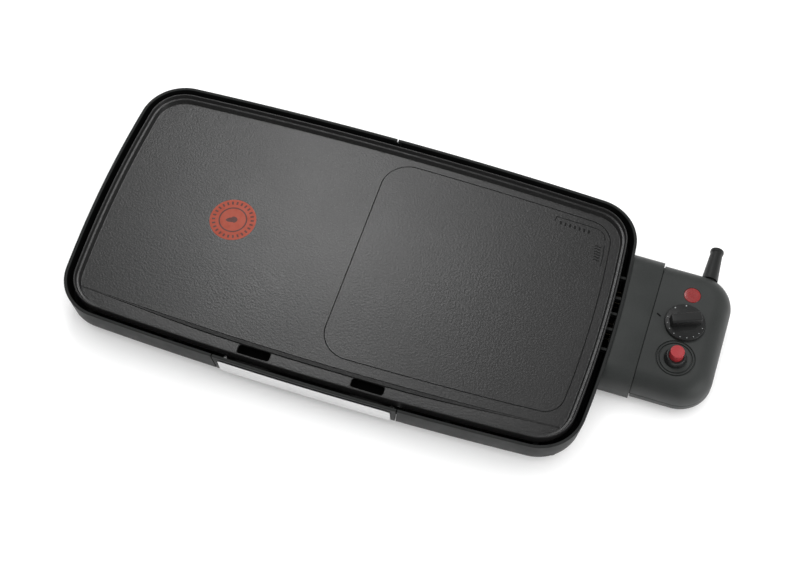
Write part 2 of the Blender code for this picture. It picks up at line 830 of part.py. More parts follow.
def drip_tray(parent):
    """Shallow open tray with a side flange on each long wall."""
    bm = bmesh.new()
    add_box_between(bm, (-TRAY_HALF, TRAY_HALF), (TRAY_FRONT_Y, TRAY_BACK_Y), (TRAY_TOP, TRAY_FLOOR))
    tray = make_object("drip_tray", bm, "tray_plastic", parent)
    flange = bmesh.new()
    reach = TRAY_HALF + 0.0065
    add_box_between(flange, (-reach, reach), (TRAY_FRONT_Y, TRAY_BACK_Y), (TRAY_TOP, TRAY_TOP + TRAY_WALL))
    join(tray, flange)
    hollow = bmesh.new()
    inner = TRAY_HALF - TRAY_WALL
    add_box_between(hollow, (-inner, inner), (TRAY_FRONT_Y + TRAY_WALL, TRAY_BACK_Y - TRAY_WALL),
                    (0.0, TRAY_FLOOR - TRAY_WALL))
    cut(tray, hollow)
    return tray


def tray_front(parent):
    """Curved front panel that carries on the frame's lip and wall between the two slits."""
    path = [long_side_station(-0.095 + 0.019 * i, -1) for i in range(11)]
    profile = frame_profile()
    wall_in = LIP_WIDTH + SKIRT_DRAFT
    profile = profile[:3] + [(wall_in, SKIRT_DEPTH)] + profile[6:]
    bm = bmesh.new()
    sweep(bm, profile, path)
    panel = make_object("drip_tray_front", bm, "frame_plastic", parent)
    boolean(panel, tray_prism(0.0), "INTERSECT")
    for side in (-1, 1):
        lug = bmesh.new()
        xs = sorted((side * 0.060, side * 0.070))
        wall = -HALF_WIDTH + 0.0045
        add_box_between(lug, xs, (wall, TRAY_FRONT_Y - CLEARANCE), (0.0215, 0.0275))
        join(panel, lug)
    return panel


def tray_plaque(parent):
    """Thin metal strip along the outside of the tray's front panel."""
    steps = 12
    rings = []
    for i in range(steps + 1):
        x = -PLAQUE_HALF + 2 * PLAQUE_HALF * i / steps
        station = long_side_station(x, -1)
        ring = []
        corners = ((PLAQUE_TOP, 0), (PLAQUE_BOTTOM, 0), (PLAQUE_BOTTOM, 1), (PLAQUE_TOP, 1))
        for depth, layer in corners:
            face = SKIRT_DRAFT * depth / SKIRT_DEPTH - CLEARANCE
            ring.append((*place(station, face - layer * PLAQUE_THICK), at_depth(depth)))
        rings.append(ring)
    bm = bmesh.new()
    loft(bm, rings)
    return make_object("tray_plaque", bm, "plaque_metal", parent)


# ---------------------------------------------------------------- control box

def box_outline(inset, start_x, corner, half=BOX_HALF, end_x=BOX_END_X):
    """Plan outline of the control box: square at the neck, rounded at its free end."""
    radius = max(corner - inset, 0.004)
    right = end_x - inset
    points = [(start_x, -half + inset)]
    steps = 8
    for side in (-1, 1):
        centre = (right - radius, side * (half - inset - radius))
        angles = [math.pi / 2 * (i / steps) for i in range(steps + 1)]
        if side < 0:
            angles = [a - math.pi / 2 for a in angles]
        for a in angles:
            points.append((centre[0] + radius * math.cos(a), centre[1] + radius * math.sin(a)))
    points.append((start_x, half - inset))
    return [(x, BOX_CENTRE_Y + y) for x, y in points]


def roll_inset(depth_from_top, roll):
    if depth_from_top >= roll:
        return 0.0
    rest = roll - depth_from_top
    return roll - math.sqrt(roll * roll - rest * rest)


def box_solid(bm, top, bottom, wall=0.0):
    """Rounded body of the control box between two depths, or its hollow where wall is given."""
    roll = BOX_ROLL - wall
    start = BOX_START_X + wall
    crown = BOX_TOP + wall
    steps = 7
    depths = []
    for i in range(steps + 1):
        angle = math.pi / 2 * i / steps
        depths.append(crown + roll * (1 - math.cos(angle)))
    depths = [d for d in depths if top - 1e-6 <= d < bottom - 1e-4]
    if not depths or depths[0] > top + 1e-6:
        depths.insert(0, top)
    depths.append(bottom)
    rings = []
    for depth in depths:
        inset = wall + roll_inset(depth - crown, roll)
        rings.append([(*p, at_depth(depth)) for p in box_outline(inset, start, BOX_CORNER)])
    loft(bm, rings)


def nose_window(half=0.0315):
    bm = bmesh.new()
    add_box_between(bm, (BOX_START_X - 0.002, BOX_START_X + 0.004), (PROBE_Y - half, PROBE_Y + half), (0.0106, 0.0252))
    return bm


def box_screw_spots():
    front, back = BOX_CENTRE_Y - 0.056, BOX_CENTRE_Y + 0.056
    return [(0.3050, front), (0.3440, front), (0.3050, back), (0.3560, BOX_CENTRE_Y + 0.035)]


def control_box_top(parent):
    bm = bmesh.new()
    box_solid(bm, BOX_TOP, BOX_PARTING)
    shell = make_object("control_box_top", bm, "box_plastic", parent)
    hollow = bmesh.new()
    box_solid(hollow, BOX_TOP + SHELL, BOX_PARTING + 0.002, wall=SHELL)
    cut(shell, hollow)
    cut(shell, nose_window())
    for x, y in box_screw_spots():
        boss = bmesh.new()
        upright(boss, 0.0035, x, y, (0.0078, BOX_PARTING - 0.001), sides=14)
        join(shell, boss)
    holes = bmesh.new()
    upright(holes, LENS_R + CLEARANCE, CONTROL_X, LENS_Y, (0.0, 0.01), sides=28)
    upright(holes, 0.0055, CONTROL_X, KNOB_Y, (0.0, 0.01), sides=20)
    upright(holes, 0.0092, CONTROL_X, BUTTON_Y, (0.0, 0.01), sides=24)
    for x, y in box_screw_spots():
        upright(holes, 0.0019, x, y, (0.0130, BOX_PARTING + 0.001), sides=10)
    cylinder(holes, 0.0065, 0.085, 0.105, (RELIEF_X, 0, at_depth(RELIEF_DEPTH)), "Y", 20)
    cut(shell, holes)
    return shell


def control_box_bottom(parent):
    bm = bmesh.new()
    box_solid(bm, BOX_PARTING + CLEARANCE, BOX_BOTTOM)
    shell = make_object("control_box_bottom", bm, "box_plastic", parent)
    hollow = bmesh.new()
    box_solid(hollow, BOX_PARTING - 0.001, BOX_BOTTOM - SHELL, wall=SHELL)
    cut(shell, hollow)
    for x, y in box_screw_spots():
        boss = bmesh.new()
        upright(boss, 0.0050, x, y, (BOX_PARTING + CLEARANCE, BOX_BOTTOM - 0.001), sides=14)
        join(shell, boss)
    cut_screw_holes(shell, box_screw_spots(), (BOX_PARTING - 0.001, BOX_BOTTOM + 0.001))
    return shell


def thermostat(parent):
    """Thermostat body under the knob, with its mounting bush, and the probe that reads the plate."""
    bm = bmesh.new()
    add_box_between(bm, (0.3110, 0.3450), (KNOB_Y - 0.0150, KNOB_Y + 0.0150), (0.0095, 0.0210))
    body = make_object("thermostat_body", bm, "module_plastic", parent)
    bush = bmesh.new()
    upright(bush, 0.0050, CONTROL_X, KNOB_Y, (0.0045, 0.0100), sides=20)
    join(body, bush)
    hole = bmesh.new()
    upright(hole, 0.0033, CONTROL_X, KNOB_Y, (0.0, 0.0140), sides=16)
    cut(body, hole)
    bm = bmesh.new()
    profile = [(0, 0.2420), (0.0012, 0.2420), (PROBE_R, 0.2440), (PROBE_R, 0.3107), (0, 0.3107)]
    turned(bm, profile, (0, PROBE_Y, at_depth(PROBE_DEPTH)), "X", 12)
    make_object("thermostat_probe", bm, "spring_steel", parent)


def connector_block(parent):
    """Heat-proof nose of the control box, which reaches through the neck to the plate's pins."""
    bm = bmesh.new()
    add_box_between(bm, (0.2625, 0.3010), (PROBE_Y - 0.0310, PROBE_Y + 0.0310), (0.0115, 0.0248))
    block = make_object("connector_block", bm, "module_plastic", parent)
    hole = bmesh.new()
    cylinder(hole, PROBE_R + CLEARANCE, 0.26, 0.305, (0, PROBE_Y, at_depth(PROBE_DEPTH)), "X", 12)
    cut(block, hole)
    return block


def contact_forks(parent):
    """Four spring channels, open upwards and at their ends, that grip the plate's pins."""
    low, high = PIN_DEPTH + PIN_R + CLEARANCE, PIN_DEPTH - 0.0016
    inner, wall = PIN_R + CLEARANCE, 0.0007
    for i, spread in enumerate(PIN_SPREAD, 1):
        bm = bmesh.new()
        y = PROBE_Y + spread
        section = [(-inner, high), (-inner - wall, high), (-inner - wall, low + wall), (inner + wall, low + wall),
                   (inner + wall, high), (inner, high), (inner, low), (-inner, low)]
        rings = [[(x, y + s, at_depth(d)) for s, d in section] for x in (0.2450, 0.2622)]
        loft(bm, rings)
        make_object(f"contact_fork_{i}", bm, "contact_brass", parent)


def indicator(parent):
    bm = bmesh.new()
    z = at_depth(BOX_TOP)
    profile = [(0, z - 0.0042), (LENS_R, z - 0.0042), (LENS_R, z), (LENS_R - 0.0006, z + 0.0003), (0, z + 0.0003)]
    turned(bm, profile, (CONTROL_X, LENS_Y, 0), sides=28)
    make_object("indicator_lens", bm, "red_lens", parent)
    bm = bmesh.new()
    upright(bm, 0.0030, CONTROL_X, LENS_Y, (0.0090, 0.0190), sides=14)
    make_object("indicator_lamp", bm, "lamp_glass", parent)


def booster_switch(parent):
    bm = bmesh.new()
    add_box_between(bm, (CONTROL_X - 0.010, CONTROL_X + 0.010), (BUTTON_Y - 0.010, BUTTON_Y + 0.010), (SWITCH_TOP, 0.0290))
    make_object("booster_switch", bm, "module_plastic", parent)
    z = at_depth(BOX_TOP)
    inner = BUTTON_R + 0.0004
    profile = [(inner, z + COLLAR_TOP), (COLLAR_R - 0.0022, z + COLLAR_TOP), (COLLAR_R - 0.0012, z + COLLAR_TOP - 0.0012),
               (COLLAR_R, z + CLEARANCE), (0.0088, z + CLEARANCE), (0.0088, z - 0.0060), (inner, z - 0.0060)]
    bm = bmesh.new()
    turned_ring(bm, profile, (CONTROL_X, BUTTON_Y, 0), sides=28)
    make_object("button_collar", bm, "knob_plastic", parent)


def strain_relief(parent):
    """Moulded sleeve where the cord leaves the box: clamped flange, tapered body, rounded end."""
    bore = 0.0036
    centre = (RELIEF_X, 0, at_depth(RELIEF_DEPTH))
    sleeve = [(bore, 0.0880), (0.0080, 0.0880), (0.0079, 0.0968), (0.0063, 0.1235), (0.0063, 0.1245),
              (0.0068, 0.1252), (0.0068, RELIEF_END_Y - 0.0008), (0.0060, RELIEF_END_Y), (bore, RELIEF_END_Y)]
    bm = bmesh.new()
    turned_ring(bm, sleeve, centre, "Y", 20)
    relief = make_object("strain_relief", bm, "rubber", parent)
    around = bmesh.new()
    box_solid(around, BOX_TOP - CLEARANCE, BOX_BOTTOM + CLEARANCE, wall=-CLEARANCE)
    cut(relief, around)
    stem = bmesh.new()
    root = [(bore, 0.0835), (0.0069, 0.0835), (0.0069, 0.0867), (0.0061, 0.0867), (0.0061, 0.1000), (bore, 0.1000)]
    turned_ring(stem, root, centre, "Y", 20)
    join(relief, stem)
    return relief


def cord_clamp(parent):
    bm = bmesh.new()
    add_box_between(bm, (RELIEF_X - 0.0095, RELIEF_X + 0.0095), (0.0740, 0.0800), (0.0215, 0.0300))
    clamp = make_object("cord_clamp", bm, "module_plastic", parent)
    groove = bmesh.new()
    cylinder(groove, 0.0038, 0.07, 0.085, (RELIEF_X, 0, at_depth(0.0202)), "Y", 14)
    cut(clamp, groove)
    return clamp


def knob(root):
    """Skirted knob with a bar grip, and the shaft it turns."""
    axis = (CONTROL_X, KNOB_Y, at_depth(BOX_TOP))
    face = at_depth(BOX_TOP)
    low = face + KNOB_GAP
    top = face + SKIRT_TOP
    profile = [(0, low), (KNOB_R, low), (KNOB_R, top - 0.0020), (KNOB_R - 0.0022, top), (0, top)]
    bm = bmesh.new()
    turned(bm, profile, (CONTROL_X, KNOB_Y, 0), sides=36)
    turner = make_object("knob", bm, "knob_plastic", root, origin=axis)
    bar = bmesh.new()
    turn = Matrix.Translation((CONTROL_X, KNOB_Y, 0)) @ Matrix.Rotation(math.radians(GRIP_TURN), 4, "Z")
    reach, half = GRIP_HALF
    add_box(bar, (-reach, -half, top - 0.0010), (reach, half, face + GRIP_TOP))
    bmesh.ops.transform(bar, matrix=turn, verts=bar.verts)
    join(turner, bar)
    socket = bmesh.new()
    upright(socket, 0.0033, CONTROL_X, KNOB_Y, (-0.0080, 0.0050), sides=16)
    cut(turner, socket)
    bm = bmesh.new()
    upright(bm, 0.0030, CONTROL_X, KNOB_Y, (-0.0075, 0.0137), sides=16)
    make_object("knob_shaft", bm, "spring_steel", root, origin=axis)


def booster_button(root):
    """Red push button with its flanged foot, and the spring under it."""
    z = at_depth(BOX_TOP)
    axis = (CONTROL_X, BUTTON_Y, z)
    top = z + BUTTON_TOP
    profile = [(0, z - 0.0075), (0.0078, z - 0.0075), (0.0078, z - 0.0064), (BUTTON_R, z - 0.0064),
               (BUTTON_R, top - 0.0010), (BUTTON_R - 0.0010, top), (0, top)]
    bm = bmesh.new()
    turned(bm, profile, (CONTROL_X, BUTTON_Y, 0), sides=28)
    make_object("booster_button", bm, "red_plastic", root, origin=axis)
    turns, per_turn, wire, coil_r = 3, 16, 0.0005, 0.0042
    low, high = at_depth(SWITCH_TOP) + CLEARANCE + wire, z - 0.0075 - CLEARANCE - wire
    points = []
    steps = per_turn * turns
    for i in range(steps + 1):
        angle = 2 * math.pi * i / per_turn
        height = low + (high - low) * i / steps
        points.append((CONTROL_X + coil_r * math.cos(angle), BUTTON_Y + coil_r * math.sin(angle), height))
    bm = bmesh.new()
    tube_along(bm, points, wire, sides=6)
    bmesh.ops.triangulate(bm, faces=bm.faces)
    make_object("button_spring", bm, "spring_steel", root)


# ---------------------------------------------------------------- assembly

def clear_scene():
    for item in list(bpy.data.objects):
        bpy.data.objects.remove(item, do_unlink=True)


def main():
    clear_scene()
    root = bpy.data.objects.new("griddle", None)
    bpy.context.collection.objects.link(root)
    frame_half("frame_left", -1, root)
    frame_half("frame_right", 1, root)
    base_pan(root)
    screws("base_screw", pan_screw_spots(), SKIRT_DEPTH + CLEARANCE, SKIRT_DEPTH - 0.0052, root)
    rubber_feet(root)
    connector_cover(root)
    neck_underplate(root)
    screws("neck_screw", neck_screw_spots(), NECK_BOTTOM + CLEARANCE, 0.0232, root)
    cooking_plate(root)
    heating_elements(root)
    element_clips(root)
    terminal_insulator(root)
    terminal_pins(root)
    drip_tray(root)
    tray_front(root)
    tray_plaque(root)
    control_box_top(root)
    control_box_bottom(root)
    screws("box_screw", box_screw_spots(), BOX_BOTTOM + CLEARANCE, 0.0145, root)
    thermostat(root)
    connector_block(root)
    contact_forks(root)
    indicator(root)
    booster_switch(root)
    strain_relief(root)
    cord_clamp(root)
    knob(root)
    booster_button(root)
    plaque_proud = PLAQUE_THICK + CLEARANCE - SKIRT_DRAFT * PLAQUE_TOP / SKIRT_DEPTH
    root.location = ((HALF_LENGTH - BOX_END_X) / 2, plaque_proud / 2, 0.0)


main()
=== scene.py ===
"""Looks of a table-top electric griddle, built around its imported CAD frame."""
import json
import math

import bmesh
import bpy
from mathutils import Matrix, Vector


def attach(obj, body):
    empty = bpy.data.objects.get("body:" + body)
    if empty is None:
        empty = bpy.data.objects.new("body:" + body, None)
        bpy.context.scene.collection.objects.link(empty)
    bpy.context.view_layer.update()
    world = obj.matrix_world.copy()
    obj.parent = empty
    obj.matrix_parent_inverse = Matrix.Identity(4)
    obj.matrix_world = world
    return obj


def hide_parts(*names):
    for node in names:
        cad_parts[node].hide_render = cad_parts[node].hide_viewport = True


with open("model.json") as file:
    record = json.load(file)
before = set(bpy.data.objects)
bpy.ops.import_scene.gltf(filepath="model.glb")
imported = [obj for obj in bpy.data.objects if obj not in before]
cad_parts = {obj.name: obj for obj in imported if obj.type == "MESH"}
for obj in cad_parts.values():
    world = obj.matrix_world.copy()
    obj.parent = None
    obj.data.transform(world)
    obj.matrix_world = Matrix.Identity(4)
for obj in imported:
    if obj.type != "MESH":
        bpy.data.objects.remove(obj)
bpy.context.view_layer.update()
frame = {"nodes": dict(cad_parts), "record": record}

# Place of the outline's centre in the shared frame, and the driving sizes, in metres.
SHIFT = Vector((-0.05075, 0.0003, 0.0))
FRAME_TOP = 0.046
HALF_LENGTH = 0.267
HALF_WIDTH = 0.1461
LONG_SIDE_R = 4.181
SHORT_SIDE_R = 1.182
CORNER_R = 0.046
LONG_STEPS = 26
CORNER_STEPS = 18
SHORT_STEPS = 12

SKIRT_DEPTH = 0.0287
SKIRT_DRAFT = 0.003
LIP_WIDTH = 0.0031
FLANGE_INNER = 0.020
FLANGE_THICK = 0.0025
BACK_SLIT = 0.0014
TRAY_SLIT = 0.0011
TRAY_HALF_TOP = 0.0923
TRAY_HALF_BOTTOM = 0.0902
LEG_OFFSET = 0.0146
LEG_R = 0.0064
LEG_BOTTOM = 0.0410
FOOT_R = 0.0062

PLATE_OFFSET = 0.0096
PLATE_RISE = 0.0018
COOK_DEPTH = 0.0065
GUTTER_DROP = 0.0023
PLATE_UNDER = 0.0105
GUTTER_INNER = 0.0295
GUTTER_STEP = 0.0036
GUTTER_REACH = 0.238
SLOT_X = 0.0575
SLOT_Y = -0.1246
SLOT_LENGTH = 0.0325
SLOT_WIDTH = 0.0095
GROOVE_LEFT = -0.001
HEAT_MARK = (-0.1287, 0.0066)
HEAT_MARK_R = 0.0234
ELEMENT_R = 0.00325
ELEMENT_END_X = 0.2257
TRAY_FRONT_Y = -0.1345
TRAY_BACK_Y = -0.056

NECK_Y = 0.0250
NECK_HALF = 0.0740
NECK_TOP = 0.0030
NECK_BOTTOM = 0.0310
NECK_ROLL = 0.020
NECK_END_X = 0.2946
SHELL = 0.0024
BOX_START_X = 0.2954
BOX_END_X = 0.3685
BOX_HALF = 0.0710
BOX_TOP = 0.0040
BOX_PARTING = 0.0250
BOX_BOTTOM = 0.0330
BOX_ROLL = 0.019
BOX_CORNER = 0.033
CONTROL_X = 0.3278
LENS_Y = 0.0642
LENS_R = 0.0081
KNOB_Y = 0.0318
KNOB_R = 0.0200
DOT_RING_R = 0.0174
GRIP_TURN = math.radians(23.5)
BUTTON_Y = -0.0074
BUTTON_R = 0.0068
COLLAR_R = 0.0113
RELIEF_X = 0.3404
RELIEF_DEPTH = 0.0170
RELIEF_BORE = 0.0036
RELIEF_END_Y = 0.1290
PROBE_Y = 0.0250


def at_depth(depth):
    """Height of a point that lies this far below the frame's lip."""
    return FRAME_TOP - depth


# ---------------------------------------------------------------- finishes

class Shading:
    """A finish under construction: short names for its nodes and links."""

    def __init__(self, name):
        self.material = bpy.data.materials.new(name)
        self.material.use_nodes = True
        self.nodes = self.material.node_tree.nodes
        self.links = self.material.node_tree.links
        self.shader = self.nodes["Principled BSDF"]
        self.coordinate = self.nodes.new("ShaderNodeTexCoord").outputs["Object"]

    def stretched(self, scale):
        mapping = self.nodes.new("ShaderNodeMapping")
        mapping.inputs["Scale"].default_value = scale
        self.links.new(self.coordinate, mapping.inputs["Vector"])
        return mapping.outputs["Vector"]

    def noise(self, scale, detail=3.0, vector=None):
        node = self.nodes.new("ShaderNodeTexNoise")
        node.inputs["Scale"].default_value = scale
        node.inputs["Detail"].default_value = detail
        self.links.new(vector or self.coordinate, node.inputs["Vector"])
        return node.outputs["Fac"]

    def cells(self, scale):
        node = self.nodes.new("ShaderNodeTexVoronoi")
        node.inputs["Scale"].default_value = scale
        self.links.new(self.coordinate, node.inputs["Vector"])
        return node.outputs["Distance"]

    def spread(self, value, low, high, start=0.3, end=0.7):
        node = self.nodes.new("ShaderNodeMapRange")
        node.inputs["From Min"].default_value = start
        node.inputs["From Max"].default_value = end
        node.inputs["To Min"].default_value = low
        node.inputs["To Max"].default_value = high
        self.links.new(value, node.inputs["Value"])
        return node.outputs["Result"]

    def blend(self, share, first, second):
        """Mix of two colours, or of an earlier mix and a colour, by a 0 to 1 share."""
        node = self.nodes.new("ShaderNodeMix")
        node.data_type = "RGBA"
        self.links.new(share, node.inputs["Factor"])
        for socket, colour in ((node.inputs[6], first), (node.inputs[7], second)):
            if isinstance(colour, tuple):
                socket.default_value = (*colour, 1.0)
            else:
                self.links.new(colour, socket)
        return node.outputs[2]

    def relief(self, height, distance, strength=1.0, under=None):
        node = self.nodes.new("ShaderNodeBump")
        node.inputs["Distance"].default_value = distance
        node.inputs["Strength"].default_value = strength
        self.links.new(height, node.inputs["Height"])
        if under:
            self.links.new(under, node.inputs["Normal"])
        return node.outputs["Normal"]

    def done(self, colour, roughness, normal, **uniform):
        self.links.new(colour, self.shader.inputs["Base Color"])
        self.links.new(roughness, self.shader.inputs["Roughness"])
        self.links.new(normal, self.shader.inputs["Normal"])
        for name, value in uniform.items():
            self.shader.inputs[name.replace("_", " ")].default_value = value
        return self.material


def lighter(colour, factor):
    return tuple(min(c * factor, 1.0) for c in colour)


def moulded(name, colour, roughness, grain=900.0, depth=0.00006, contrast=1.16, **uniform):
    """Moulded plastic or rubber: a fine spark-eroded grain, faint flow marks and handling wear."""
    s = Shading(name)
    fine = s.noise(grain, 2.0)
    broad = s.noise(22.0, 3.0)
    wiped = s.noise(70.0, 5.0, s.stretched((1.0, 0.25, 1.0)))
    tone = s.blend(s.spread(broad, 0.0, 1.0), lighter(colour, 2.0 - contrast), lighter(colour, contrast))
    tone = s.blend(s.spread(fine, 0.0, 0.30, 0.35, 0.75), tone, lighter(colour, 1.7))
    rough = s.spread(wiped, roughness - 0.05, roughness + 0.05)
    return s.done(tone, rough, s.relief(fine, depth, 0.5), **uniform)


def non_stick(name, colour, fleck):
    """Sprayed non-stick coating over cast aluminium: orange-peel skin with small light flecks."""
    s = Shading(name)
    peel = s.noise(480.0, 3.0)
    fine = s.noise(1500.0, 2.0)
    cloud = s.noise(9.0, 4.0)
    tone = s.blend(s.spread(cloud, 0.0, 1.0), lighter(colour, 0.94), lighter(colour, 1.06))
    tone = s.blend(s.spread(peel, 0.0, 0.50, 0.45, 0.8), tone, lighter(colour, 2.0))
    flecks = s.spread(s.cells(420.0), 0.55, 0.0, 0.06, 0.16)
    tone = s.blend(flecks, tone, fleck)
    rough = s.spread(cloud, 0.27, 0.31)
    skin = s.relief(peel, 0.00027, 0.60)
    return s.done(tone, rough, s.relief(fine, 0.00008, 0.5, under=skin), Specular_IOR_Level=0.35)


def rolled_metal(name, colour, roughness, along=(12.0, 900.0, 900.0), depth=0.00003, **uniform):
    """Sheet or drawn metal with fine lines along its length, smudges and small pits."""
    s = Shading(name)
    lines = s.noise(1.0, 4.0, s.stretched(along))
    smudge = s.noise(30.0, 4.0)
    pits = s.spread(s.cells(260.0), 1.0, 0.0, 0.02, 0.10)
    tone = s.blend(s.spread(lines, 0.0, 1.0), lighter(colour, 0.88), lighter(colour, 1.1))
    tone = s.blend(s.spread(smudge, 0.0, 0.35, 0.45, 0.8), tone, lighter(colour, 0.72))
    tone = s.blend(s.spread(pits, 0.0, 0.4, 0.0, 1.0), tone, lighter(colour, 0.5))
    rough = s.spread(smudge, roughness - 0.06, roughness + 0.10)
    return s.done(tone, rough, s.relief(lines, depth, 0.6), Metallic=1.0, **uniform)


def heated_steel(name, colour, scorch):
    """Tube of a heating element: dull steel, browned in patches by heat."""
    s = Shading(name)
    patches = s.noise(45.0, 5.0)
    fine = s.noise(1200.0, 2.0)
    tone = s.blend(s.spread(patches, 0.0, 1.0, 0.35, 0.65), colour, scorch)
    rough = s.spread(patches, 0.42, 0.62)
    return s.done(tone, rough, s.relief(fine, 0.00004, 0.6), Metallic=0.85)


def printed(name, colour, worn, roughness, **uniform):
    """Thin print on the coating, thinned a little where utensils have passed over it."""
    s = Shading(name)
    rub = s.noise(160.0, 5.0)
    fine = s.noise(900.0, 2.0)
    tone = s.blend(s.spread(rub, 0.0, 0.55, 0.52, 0.78), colour, worn)
    tone = s.blend(s.spread(fine, 0.0, 0.25, 0.4, 0.8), tone, lighter(colour, 0.7))
    rough = s.spread(rub, roughness - 0.05, roughness + 0.08)
    return s.done(tone, rough, s.relief(fine, 0.00005, 0.5), **uniform)


def tinted_lens(name, colour, deep):
    """Translucent indicator lens: deeper colour in small moulded facets under a glossy face."""
    s = Shading(name)
    facets = s.cells(900.0)
    haze = s.noise(140.0, 4.0)
    tone = s.blend(s.spread(facets, 0.0, 0.6, 0.1, 0.8), colour, deep)
    rough = s.spread(haze, 0.20, 0.34)
    return s.done(tone, rough, s.relief(facets, 0.00008, 0.4), Coat_Weight=0.4, Coat_Roughness=0.15,
                  Transmission_Weight=0.1)


FRAME_PLASTIC = moulded("charcoal frame plastic", (0.0118, 0.0125, 0.0123), 0.55, Specular_IOR_Level=0.22)
# Painted shade: near-black finish for the frame's inner wall and flange, which lie in shade behind the lip.
PAINTED_INNER_SHADE = moulded("unlit inner face of the frame", (0.0040, 0.0042, 0.0042), 0.75,
                         Specular_IOR_Level=0.08)
BOX_PLASTIC = moulded("charcoal control-box plastic", (0.0190, 0.0208, 0.0200), 0.52, grain=1100.0,
                      Specular_IOR_Level=0.45)
COATING = non_stick("speckled non-stick coating", (0.014, 0.014, 0.014), (0.09, 0.09, 0.09))
KNOB_PLASTIC = moulded("black knob plastic", (0.0115, 0.0118, 0.0118), 0.42, grain=1300.0,
                       Specular_IOR_Level=0.36)
COLLAR_PLASTIC = moulded("black collar plastic", (0.010, 0.0102, 0.0102), 0.36, grain=1300.0)
RUBBER = moulded("black sleeve rubber", (0.0075, 0.0080, 0.0078), 0.50, grain=1000.0, depth=0.00009)
# Black tray plastic, made darker still as painted shade, so the well seen through the drain slots and the
# tray gap reads as the shade under the plate.
TRAY_PLASTIC_AND_SHADE = moulded("drip-tray plastic", (0.0050, 0.0051, 0.0051), 0.60, Specular_IOR_Level=0.12)
# Connector block: dark phenolic, kept this dark also as painted shade, so it reads black in the gap behind
# the frame's lip.
MODULE_PLASTIC_AND_SHADE = moulded("dark phenolic darkened as painted shade", (0.020, 0.017, 0.015), 0.55)
CERAMIC = moulded("glazed ceramic", (0.74, 0.71, 0.66), 0.32, grain=500.0, contrast=1.06)
RED_PLASTIC = moulded("red button plastic", (0.245, 0.018, 0.022), 0.38, grain=1200.0, contrast=1.06)
RED_LENS = tinted_lens("red indicator lens", (0.25, 0.022, 0.022), (0.14, 0.006, 0.007))
LAMP_GLASS = tinted_lens("neon lamp glass", (0.80, 0.42, 0.22), (0.55, 0.22, 0.10))
HEAT_PRINT = printed("orange-red heat-indicator print", (0.27, 0.044, 0.022), (0.20, 0.036, 0.020), 0.55)
DARK_PRINT = printed("dark heat-indicator print", (0.060, 0.018, 0.015), (0.10, 0.026, 0.020), 0.50)
FAINT_PRINT = printed("dark mark on the coating", (0.008, 0.008, 0.008), (0.014, 0.014, 0.014), 0.60,
                      Specular_IOR_Level=0.12)
WHITE_PRINT = printed("white dial print", (0.26, 0.27, 0.27), (0.14, 0.14, 0.14), 0.50)
INDEX_PRINT = printed("black index print", (0.003, 0.003, 0.003), (0.006, 0.006, 0.006), 0.6,
                      Specular_IOR_Level=0.10)
PLAQUE_METAL = rolled_metal("brushed aluminium strip", (0.72, 0.72, 0.72), 0.36)
SHEET_STEEL = rolled_metal("aluminised steel sheet", (0.56, 0.56, 0.55), 0.38, along=(20.0, 400.0, 400.0))
SCREW_STEEL = rolled_metal("zinc-plated screw steel", (0.50, 0.50, 0.48), 0.34, along=(300.0, 300.0, 60.0))
SPRING_STEEL = rolled_metal("bright steel", (0.62, 0.62, 0.61), 0.26, along=(40.0, 900.0, 900.0))
# Brass contacts kept far darker than bright brass as painted shade, so they read dark in the gap behind the
# frame.
BRASS_DARKENED_AS_SHADE = rolled_metal("brass darkened as painted shade", (0.10, 0.085, 0.06), 0.40, along=(60.0, 900.0, 900.0))
ELEMENT_STEEL = heated_steel("heating-element steel", (0.23, 0.22, 0.21), (0.13, 0.095, 0.075))

SLOT_FINISHES = {
    "frame_plastic": FRAME_PLASTIC,
    "box_plastic": BOX_PLASTIC,
    "plate_coating": COATING,
    "sheet_steel": SHEET_STEEL,
    "plaque_metal": PLAQUE_METAL,
    "element_steel": ELEMENT_STEEL,
    "contact_brass": BRASS_DARKENED_AS_SHADE,
    "ceramic": CERAMIC,
    "tray_plastic": TRAY_PLASTIC_AND_SHADE,
    "rubber": RUBBER,
    "knob_plastic": KNOB_PLASTIC,
    "red_plastic": RED_PLASTIC,
    "red_lens": RED_LENS,
    "lamp_glass": LAMP_GLASS,
    "screw_steel": SCREW_STEEL,
    "spring_steel": SPRING_STEEL,
    "module_plastic": MODULE_PLASTIC_AND_SHADE,
}


# ---------------------------------------------------------------- outline of the griddle

def corner_centre():
    """Centre of the corner arc, tangent to the long-side and short-side arcs inside them."""
    long_c = Vector((0.0, HALF_WIDTH - LONG_SIDE_R))
    short_c = Vector((HALF_LENGTH - SHORT_SIDE_R, 0.0))
    from_long = LONG_SIDE_R - CORNER_R
    from_short = SHORT_SIDE_R - CORNER_R
    gap = short_c - long_c
    along = (gap.length_squared + from_long ** 2 - from_short ** 2) / (2 * gap.length)
    across = math.sqrt(from_long ** 2 - along ** 2)
    unit = gap.normalized()
    side = Vector((-unit.y, unit.x))
    first = long_c + unit * along + side * across
    second = long_c + unit * along - side * across
    return first if first.x > 0 and first.y > 0 else second


def arc_stations(centre, radius, start, end, steps):
    return [(centre[0], centre[1], radius, start + (end - start) * i / steps) for i in range(steps + 1)]


def quadrant():
    """Stations from the middle of the short side round to the middle of the long side."""
    corner = corner_centre()
    long_c = (0.0, HALF_WIDTH - LONG_SIDE_R)
    short_c = (HALF_LENGTH - SHORT_SIDE_R, 0.0)
    low = math.atan2(corner.y - short_c[1], corner.x - short_c[0])
    high = math.atan2(corner.y - long_c[1], corner.x - long_c[0])
    stations = arc_stations(short_c, SHORT_SIDE_R, 0.0, low, SHORT_STEPS)
    stations += arc_stations(corner, CORNER_R, low, high, CORNER_STEPS)[1:]
    stations += arc_stations(long_c, LONG_SIDE_R, high, math.pi / 2, LONG_STEPS)[1:]
    return stations


